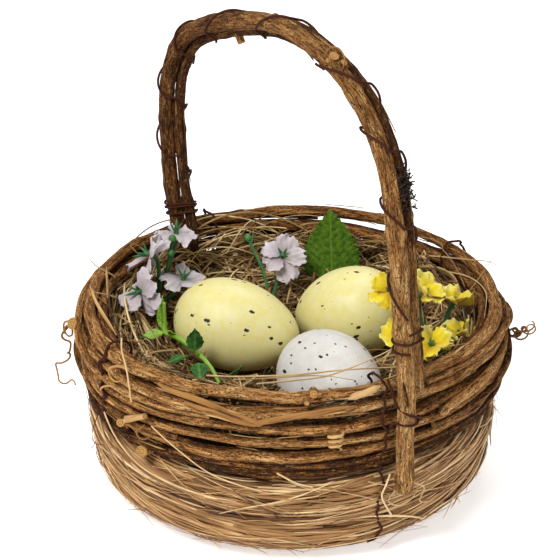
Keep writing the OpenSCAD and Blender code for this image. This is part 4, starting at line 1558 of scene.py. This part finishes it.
# Buds on the sprigs: each stem's route and the bud's radius
BUDS = {
    "white_sprig": [([(-61.5, -33.5, 84), (-60.6, -31.5, 94), (-58, -31.5, 103)], 1.9),
                    ([(-61.5, -36, 78), (-58.8, -34.4, 88), (-55.4, -34, 97)], 1.7)],
    "centre_sprig": [([(-36, 8.5, 76), (-40.5, 8.6, 84), (-45.6, 7, 92), (-49.1, 6.2, 97)], 1.9)],
}


# How each kind of flower is cut: petals, their reach, width and rise, how ragged, cupped
# and ruffled they are, and how unevenly they rise
WHITE_CUT = (5, 13.0, 10.4, 2, 0.05, -0.14, 1.2, 24)
YELLOW_CUT = (4, 10.6, 12.5, 22, 0.03, 0.2, 1.1, 20)
# Each sprig: foot, flowers, length of its sepals
SPRIGS = {
    "white_sprig": ((-63, -40, 68.3), WHITE_FLOWERS[:4], 6.5),
    "centre_sprig": ((-30, 4, 58), WHITE_FLOWERS[4:], 5.5),
    "yellow_sprig": ((56, 42, 66.5), YELLOW_FLOWERS, 3.0),
}


def stem_route(foot, place, up):
    foot, place = np.array(foot), np.array(place)
    return smooth([foot, (foot + place) / 2 - 4 * up, place - 4 * up, place + CALYX_OVER * up], 8)


def build_flowers():
    for kind, flowers, cut, seed in (("white", WHITE_FLOWERS, WHITE_CUT, 300),
                                     ("yellow", YELLOW_FLOWERS, YELLOW_CUT, 320)):
        for n, (place, turn) in enumerate(flowers, 1):
            form = Form()
            flower(form, place, turn, np.random.default_rng(seed + n), *cut)
            form.build(f"{kind}_flower_{n}", kind + "_petal", f"{kind}_petals_{n}")
    for k, (name, (foot, flowers, sepal)) in enumerate(SPRIGS.items()):
        rng = np.random.default_rng(340 + k)
        form = Form()
        for place, turn in flowers:
            up = turned_z(turn)
            route = stem_route(foot, place, up)
            r = STEM_R * np.interp(np.linspace(0, 1, len(route)), [0, 0.7, 0.9, 1],
                                   [1.0, 0.9, 1.25, 0.8])
            form.tube(route, r, 10, tint=0.35)
            calyx(form, place + 1.2 * up, up, rng, sepal)
        for stem, size in BUDS.get(name, ()):
            bud(form, stem, size, rng)
        form.build(name + "_moulding", "green_stem", name)


GREEN_SPRIG = [(-25, -55, 74.5), (-14, -54, 76), (-4, -53, 75.5), (5, -52.5, 74.5),
               (13, -52, 72), (19, -51.5, 67)]
GREEN_BRANCH = [(-25, -55, 74.5), (-25.5, -54.8, 80), (-25, -55, 90)]
# Small leaves moulded on the green sprig: foot, turn, length, width
SPRIG_LEAVES = [
    ((-25.4, -55, 79), (30, -98, 0), 14, 5.5), ((-25, -55.2, 76), (-60, -110, 20), 11, 4.5),
    ((-25, -56, 74.2), (-20, 8, -118), 11, 6), ((-18, -54.6, 75.6), (10, -50, -60), 6, 4),
]


def build_green_sprig():
    form = Form()
    for rows, first, last, tint in ((GREEN_SPRIG, 1.25, 0.9, 0.6), (GREEN_BRANCH, 1.35, 0.7, 0.7)):
        route = smooth(rows, 12)
        form.tube(route, np.linspace(first, last, len(route)), 12, tint=tint)
    for row in SPRIG_LEAVES:
        leaf(form, *row, teeth=1, rows=30, columns=13, fold=0.3)
    spike(form, np.array((4.0, -52.5, 74.6)), (0.2, -0.5, 0.6), 5, 0.8,
          np.random.default_rng(350))
    form.build("green_sprig_moulding", "bright_stem", "green_sprig")


# ---------------------------------------------------------------- floor and assembly

FLOOR_HALF = 3.0
FLOOR_TONES = ((0.84, 0.84, 0.84, 1), (0.78, 0.78, 0.78, 1))


def make_floor():
    """White paper that glows a little, so that it stays white away from the lights."""
    g = Graph("floor_paper")
    where = g.node("TexCoord").outputs["Object"]
    tone = g.noise(where, 3.0, 2, 0.5)
    colour = g.mix(g.between(tone, 0.3, 0.7, 0.0, 0.03), *FLOOR_TONES)
    mesh = bpy.data.meshes.new("floor")
    corners = [(x * FLOOR_HALF, y * FLOOR_HALF, 0) for x, y in ((-1, -1), (1, -1), (1, 1), (-1, 1))]
    mesh.from_pydata(corners, [], [(0, 1, 2, 3)])
    mesh.materials.append(g.finish(colour, 0.9, None, 0.05,
                                   emission_color=(1, 1, 1, 1), emission_strength=0.55))
    floor = bpy.data.objects.new("floor", mesh)
    scene.collection.objects.link(floor)


def main():
    make_studio()
    make_floor()
    for build in (build_hoops, build_inner_vines, build_loose_vines, build_small_vines,
                  build_rim_details, build_handle, build_handle_details, build_wires,
                  build_tendrils, build_eggs, build_straw_core, build_straw, build_flyaways,
                  build_hay, build_stalks, build_leaves, build_flowers, build_green_sprig):
        build()


main()
